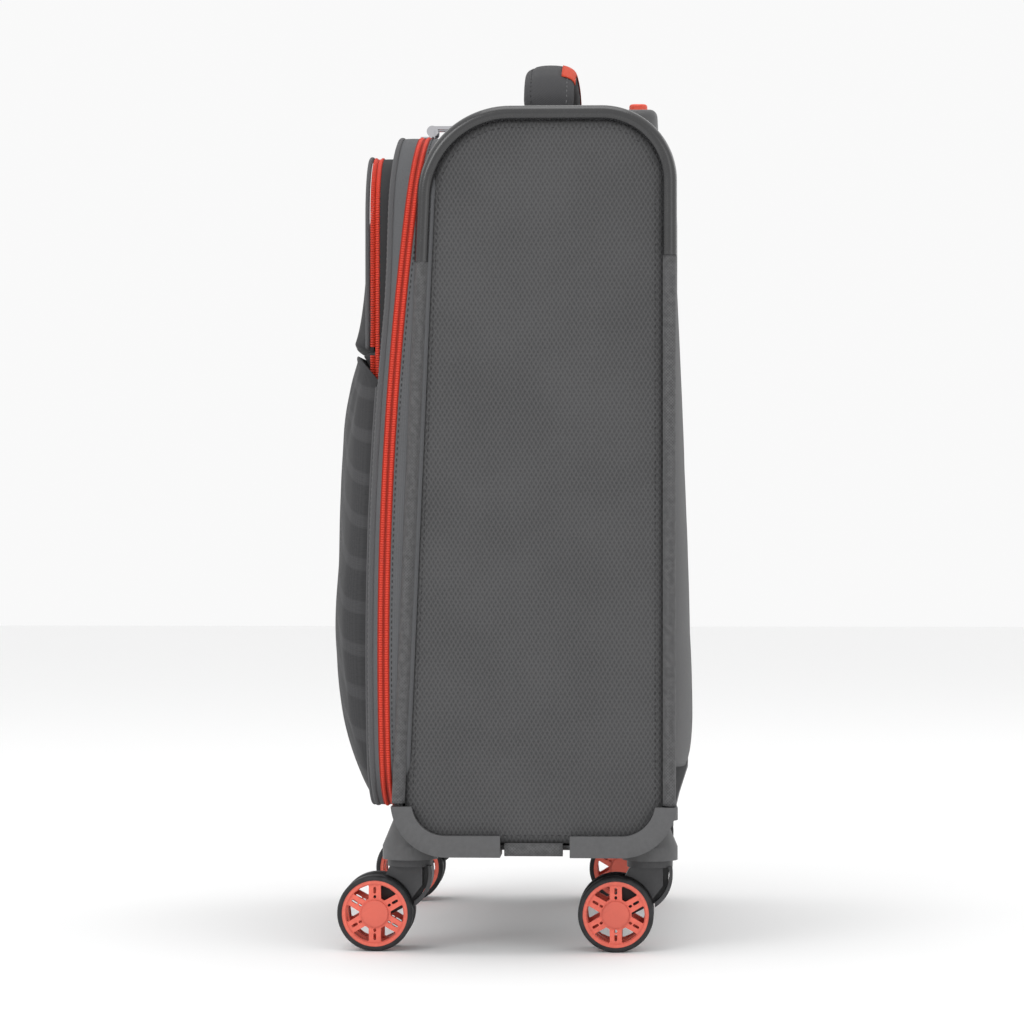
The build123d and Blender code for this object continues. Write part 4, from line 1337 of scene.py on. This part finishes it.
def sideways(line, index):
    """Direction across a line that lies roughly in a plane facing Y."""
    before = Vector(line[max(0, index - 1)])
    after = Vector(line[min(len(line) - 1, index + 1)])
    return (after - before).cross(Vector((0, 1, 0))).normalized()


def fabric_hinge():
    """The fabric that the lid folds on, sewn to both halves on the far side."""
    rows = []
    for i in range(61):
        z = HINGE_LOW + 1.0 + (HINGE_HIGH - HINGE_LOW - 2.0) * i / 60
        row = []
        for j in range(17):
            forward = -7.5 + 14.0 * j / 16
            bow = 0.9 * math.exp(-(forward / 2.5) ** 2)
            edge = 0.5 if j in (0, 16) else 0.0
            row.append((-LID_X - 1.3 - bow + edge, seam_y(z) - forward, z))
        rows.append(row)
    hinge = fabric_piece("fabric_hinge", rows, "gusset_fabric", None, uv=side_uv)
    thicken(hinge, 1.2)
    flat_width, flat_length = flat_size(rows)
    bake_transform(hinge)
    for name, body, forward in (("case", "case", -5.5), ("lid", "lid", 5.0)):
        places = [((-LID_X - 1.95, seam_y(z) - forward, z), (-1, 0, 0))
                  for z in range(int(HINGE_LOW) + 4, int(HINGE_HIGH) - 2, 3)]
        stitch_row(f"hinge_stitches_{name}", places, "thread", body, **FINE_STITCH)


# ---------------------------------------------------------------- pockets
def pillow(name, loop, base_y, front_y, edge_round, finish_name, body, rows_count=58, columns_count=66):
    """Closed padded form: a flat back on base_y(z) and a front that rises to front_y(x, z).

    Its front edges are rounded over the distance edge_round(z).
    """
    low = min(p.y for p, _ in loop)
    high = max(p.y for p, _ in loop)
    spots = []
    for i in range(rows_count + 1):
        z = low + (high - low) * eased(i, rows_count)
        near, far = span_at(loop, within(z, low, high))
        for j in range(columns_count + 1):
            spots.append((near + (far - near) * eased(j, columns_count), z))
    away = edge_distance(loop, spots)
    width = columns_count + 1
    front = []
    back = []
    for index, (x, z) in enumerate(spots):
        base = base_y(z)
        rise = math.sqrt(max(0.0, 1 - (1 - min(1.0, away[index] / edge_round(z))) ** 2))
        front.append((x, base + (front_y(x, z) - base) * rise, z))
        back.append((x, base, z))
    rim = [i for i in range(len(spots))
           if i % width in (0, width - 1) or i < width or i >= len(spots) - width]
    rim_set = set(rim)
    back_index = {}
    points = list(front)
    for i, spot in enumerate(back):
        if i in rim_set:
            back_index[i] = i
        else:
            back_index[i] = len(points)
            points.append(spot)
    for i in rim:
        points[i] = back[i]
    faces = []
    uvs = []
    for i in range(rows_count):
        for j in range(columns_count):
            corners = [i * width + j, i * width + j + 1, (i + 1) * width + j + 1, (i + 1) * width + j]
            faces.append(corners)
            uvs.extend((spots[k][0] * MM, spots[k][1] * MM) for k in corners)
    for i in range(rows_count):
        for j in range(columns_count):
            corners = [i * width + j, (i + 1) * width + j, (i + 1) * width + j + 1, i * width + j + 1]
            faces.append([back_index[k] for k in corners])
            uvs.extend((spots[k][0] * MM, spots[k][1] * MM) for k in corners)
    piece = new_piece(name, points, faces, uvs, FINISHES[finish_name], body)
    tidy_normals(piece)
    return piece, sorted(rim_set | {k for i, k in back_index.items()})


def lower_pocket():
    def front_y(x, z):
        plan = LOWER_PLAN * abs(x / LOWER_X) ** 2.2
        full = smooth_value(LOWER_PROFILE, z) + plan * 0.9
        broad = ripple(x / 60, z / 45, 2) * 1.3
        fine = ripple(x / 22, z / 28, 6) * 0.5
        return min(full + (broad + fine), back_y(z) - 2.5)

    def back_y(z):
        lip = max(0.0, z - CREASE_LOW) / (LOWER_TOP - CREASE_LOW)
        return seam_y(z) - LID_DEPTH - 0.6 - 15.0 * lip

    piece, held = pillow("lower_pocket_pad", LOWER_LOOP, back_y, front_y,
                         lambda z: 8.0 - 4.5 * smooth_step(z, LOWER_TOP - 20, LOWER_TOP),
                         "front_fabric", "lid")
    inflate(piece, held, cap=2.5)
    subdivide(piece)
    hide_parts("lower_pocket")
    welt = runs(offset(LOWER_LOOP, 0.6), lambda p: p.y < CREASE_LOW)[0]
    stations = front_stations(welt, lambda z: seam_y(z) - LID_DEPTH - 1.6)
    sweep_piece("lower_pocket_welt", stations, circle_section(1.5, 10), FINISHES["binding"], "lid", "binding")


def upper_pocket():
    """Pocket gusset on the lid, the swinging padded front, and a zip row on each."""
    arch = runs(POCKET_LOOP, lambda p: p.y > CREASE_LOW + 1.0)[0]

    def columns(point):
        front = POCKET_SEAM_Y + SEAM_GAP
        back = seam_y(point.y) - lid_depth(point.y) + 0.4
        return [(front + (back - front) * j / 8, 0.3 * math.sin(math.pi * j / 8) - 0.6) for j in range(9)]

    rows = band_rows(arch, columns)
    gusset = fabric_piece("pocket_gusset_band", rows, "flap_fabric", "lid")
    thicken(gusset, 1.2)
    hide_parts("pocket_gusset")
    width, length = flat_size(rows)

    def front_y(x, z):
        plan = 8.0 * (x / UPPER_X) ** 2
        slope = 0.0055 * max(0.0, z - 425.0) ** 2 - 0.0021 * max(0.0, 425.0 - z) ** 2
        soft = ripple(x / 50, z / 30, 12) * 0.8 * min(1.0, abs(abs(x) - 40) / 40)
        return UPPER_FRONT_Y + plan + slope + soft

    flap, held = pillow("pocket_front_pad", UPPER_LOOP, lambda z: POCKET_SEAM_Y - SEAM_GAP, front_y,
                        lambda z: 3.0 + 6.0 * smooth_step(z, UPPER_BASE, UPPER_BASE + 20),
                        "flap_fabric", "pocket_flap", rows_count=36)
    inflate(flap, held, cap=1.2)
    subdivide(flap)
    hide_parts("pocket_flap")

    fine = upright_loop(UPPER_X, CREASE_LOW, UPPER_TOP, UPPER_R_BASE, UPPER_R, arc_step=1.2, line_step=2.5)
    above = runs(fine, lambda p: p.y > UPPER_BASE + 0.8)[0]
    whole = runs(fine, lambda p: p.y > CREASE_LOW + 1.5)[0]
    ends = runs(fine, lambda p: CREASE_LOW + 1.5 < p.y < UPPER_BASE - 0.8)
    for name, body, sign, stretches in (("gusset", "lid", -1, [whole]), ("front", "pocket_flap", 1, [above]),
                                        ("end", "lid", 1, ends)):
        for number, stretch in enumerate(stretches):
            tooth_row(f"pocket_zip_{name}_{number}", stretch, sign * 0.12, sign * (SEAM_GAP + TOOTH_W - 0.35),
                      lambda z: POCKET_SEAM_Y, body)

    def base_front_y(x, z):
        return -84.0 - 0.62 * (z - CREASE_LOW) + 6.0 * (x / UPPER_X) ** 2

    base_pad, _ = pillow("pocket_base_pad", BASE_PAD_LOOP, lambda z: seam_y(z) - LID_DEPTH - 0.6,
                         base_front_y, lambda z: 3.0,
                         "flap_fabric", "lid", rows_count=12)
    edge = offset(runs(UPPER_LOOP, lambda p: p.y > UPPER_BASE + 0.8)[0], 0.3)
    piping = front_stations(edge, lambda z: POCKET_SEAM_Y - 4.6)
    sweep_piece("pocket_front_piping", piping, circle_section(1.4, 10),
                FINISHES["binding"], "pocket_flap", "binding")


def badge_piece():
    """Blank badge plate with a raised rim, on the pocket's front."""
    low, high = node_box("badge")
    corners = ((low.x, low.z), (high.x, low.z), (high.x, high.z), (low.x, high.z))
    loop = rounded_loop(corners, (5.0,) * 4, line_step=10.0)
    rows = []
    for inset, back in ((0.0, 2.6), (0.0, 0.5), (0.5, 0.0), (1.6, 0.0), (2.0, 0.5), (4.0, 0.5)):
        rows.append([(p.x - n.x * inset, low.y + back, p.y - n.y * inset) for p, n in loop])
    badge = fabric_piece("badge_plate", rows, "badge_plastic", "pocket_flap", wrap_across=True, caps=True)
    tidy_normals(badge)
    sharpen(badge, 35)
    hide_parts("badge")


# ---------------------------------------------------------------- hard parts from the frame
def hard_parts():
    """Finishes and small rounded edges for the CAD nodes that stay."""
    for name in ("trolley_grip", "trolley_bezel"):
        dress(name, FINISHES["moulded_plastic"])
    dress("trolley_button", FINISHES["button_red"])
    for name in ("fixed_tubes", "middle_tubes", "top_tubes"):
        dress(name, FINISHES["tube_aluminium"])
    dress("release_rods", FINISHES["steel"])
    for name in ("slider_left", "slider_right", "pull_left", "pull_right", "pocket_slider", "pocket_pull"):
        round_edges(dress(name, FINISHES["chrome"]), 0.35)
    for side in ("left", "right"):
        for end in ("front", "rear"):
            where = f"{end}_{side}"
            round_edges(dress(f"caster_housing_{where}", FINISHES["moulded_plastic"]), 0.8)
            round_edges(dress(f"fork_{where}", FINISHES["fork_plastic"]), 0.6)
            dress(f"axle_{where}", FINISHES["steel"])
            for twin in ("a", "b"):
                round_edges(dress(f"rim_{where}_{twin}", FINISHES["rim_red"]), 0.3)
                dress(f"tyre_{where}_{twin}", FINISHES["tyre_black"])


# ---------------------------------------------------------------- stage
def studio():
    """Pale floor and soft light from both sides and above."""
    floor_mesh = bpy.data.meshes.new("floor")
    half = 6.0
    corners = [(-half, -half, 0), (half, -half, 0), (half, half, 0), (-half, half, 0)]
    floor_mesh.from_pydata(corners, [], [(0, 1, 2, 3)])
    floor = bpy.data.objects.new("floor", floor_mesh)
    bpy.context.scene.collection.objects.link(floor)
    pale = bpy.data.materials.new("floor_pale")
    pale.use_nodes = True
    pale.node_tree.nodes["Principled BSDF"].inputs["Base Color"].default_value = (0.93, 0.93, 0.93, 1)
    pale.node_tree.nodes["Principled BSDF"].inputs["Roughness"].default_value = 0.8
    floor_mesh.materials.append(pale)

    world = bpy.context.scene.world or bpy.data.worlds.new("studio")
    bpy.context.scene.world = world
    world.use_nodes = True
    background = world.node_tree.nodes["Background"]
    background.inputs["Color"].default_value = (1.0, 1.0, 1.0, 1.0)
    background.inputs["Strength"].default_value = 0.95
    bpy.context.scene.view_settings.view_transform = "Standard"

    target = Vector((0.0, 0.0, 0.28))
    lamps = (("key", (1.9, -1.2, 1.5), 1.1, 12.0), ("fill", (1.9, 1.5, 0.9), 1.3, 4.0),
             ("top", (0.2, 0.0, 2.2), 1.2, 7.0), ("front", (-0.6, -2.1, 0.9), 1.4, 4.0),
             ("behind", (-1.2, 1.9, 1.3), 1.4, 5.0))
    for name, place, width, power in lamps:
        light = bpy.data.lights.new(name, "AREA")
        light.size = width
        light.energy = power
        lamp = bpy.data.objects.new(name, light)
        lamp.location = place
        lamp.rotation_mode = "QUATERNION"
        lamp.rotation_quaternion = (target - Vector(place)).to_track_quat("-Z", "Y")
        bpy.context.scene.collection.objects.link(lamp)


def camera():
    """Level view of the +X side, turned a little so that vertical faces beyond it show."""
    turn = math.radians(2.7)
    distance = 2.145
    lateral = 0.003
    height = 0.268
    forward = Vector((-math.cos(turn), -math.sin(turn), 0))
    right = Vector((-math.sin(turn), math.cos(turn), 0))
    lens = bpy.data.cameras.new("camera")
    lens.sensor_width = 36.0
    lens.lens = 124.8
    view = bpy.data.objects.new("camera", lens)
    view.location = Vector((SIDE_X * MM, 0, height)) - forward * distance + right * lateral
    view.rotation_mode = "QUATERNION"
    view.rotation_quaternion = forward.to_track_quat("-Z", "Y")
    bpy.context.scene.collection.objects.link(view)
    bpy.context.scene.camera = view


# ---------------------------------------------------------------- build
camera()
studio()
side_panel_pieces()
top_and_bottom()
back_piece()
kick_plate()
case_beads()
front_band()
main_zip()
lining_tub()
packing_straps()
carry_handle()
lid_gusset_and_binding()
lid_face()
fabric_hinge()
lower_pocket()
upper_pocket()
badge_piece()
hard_parts()
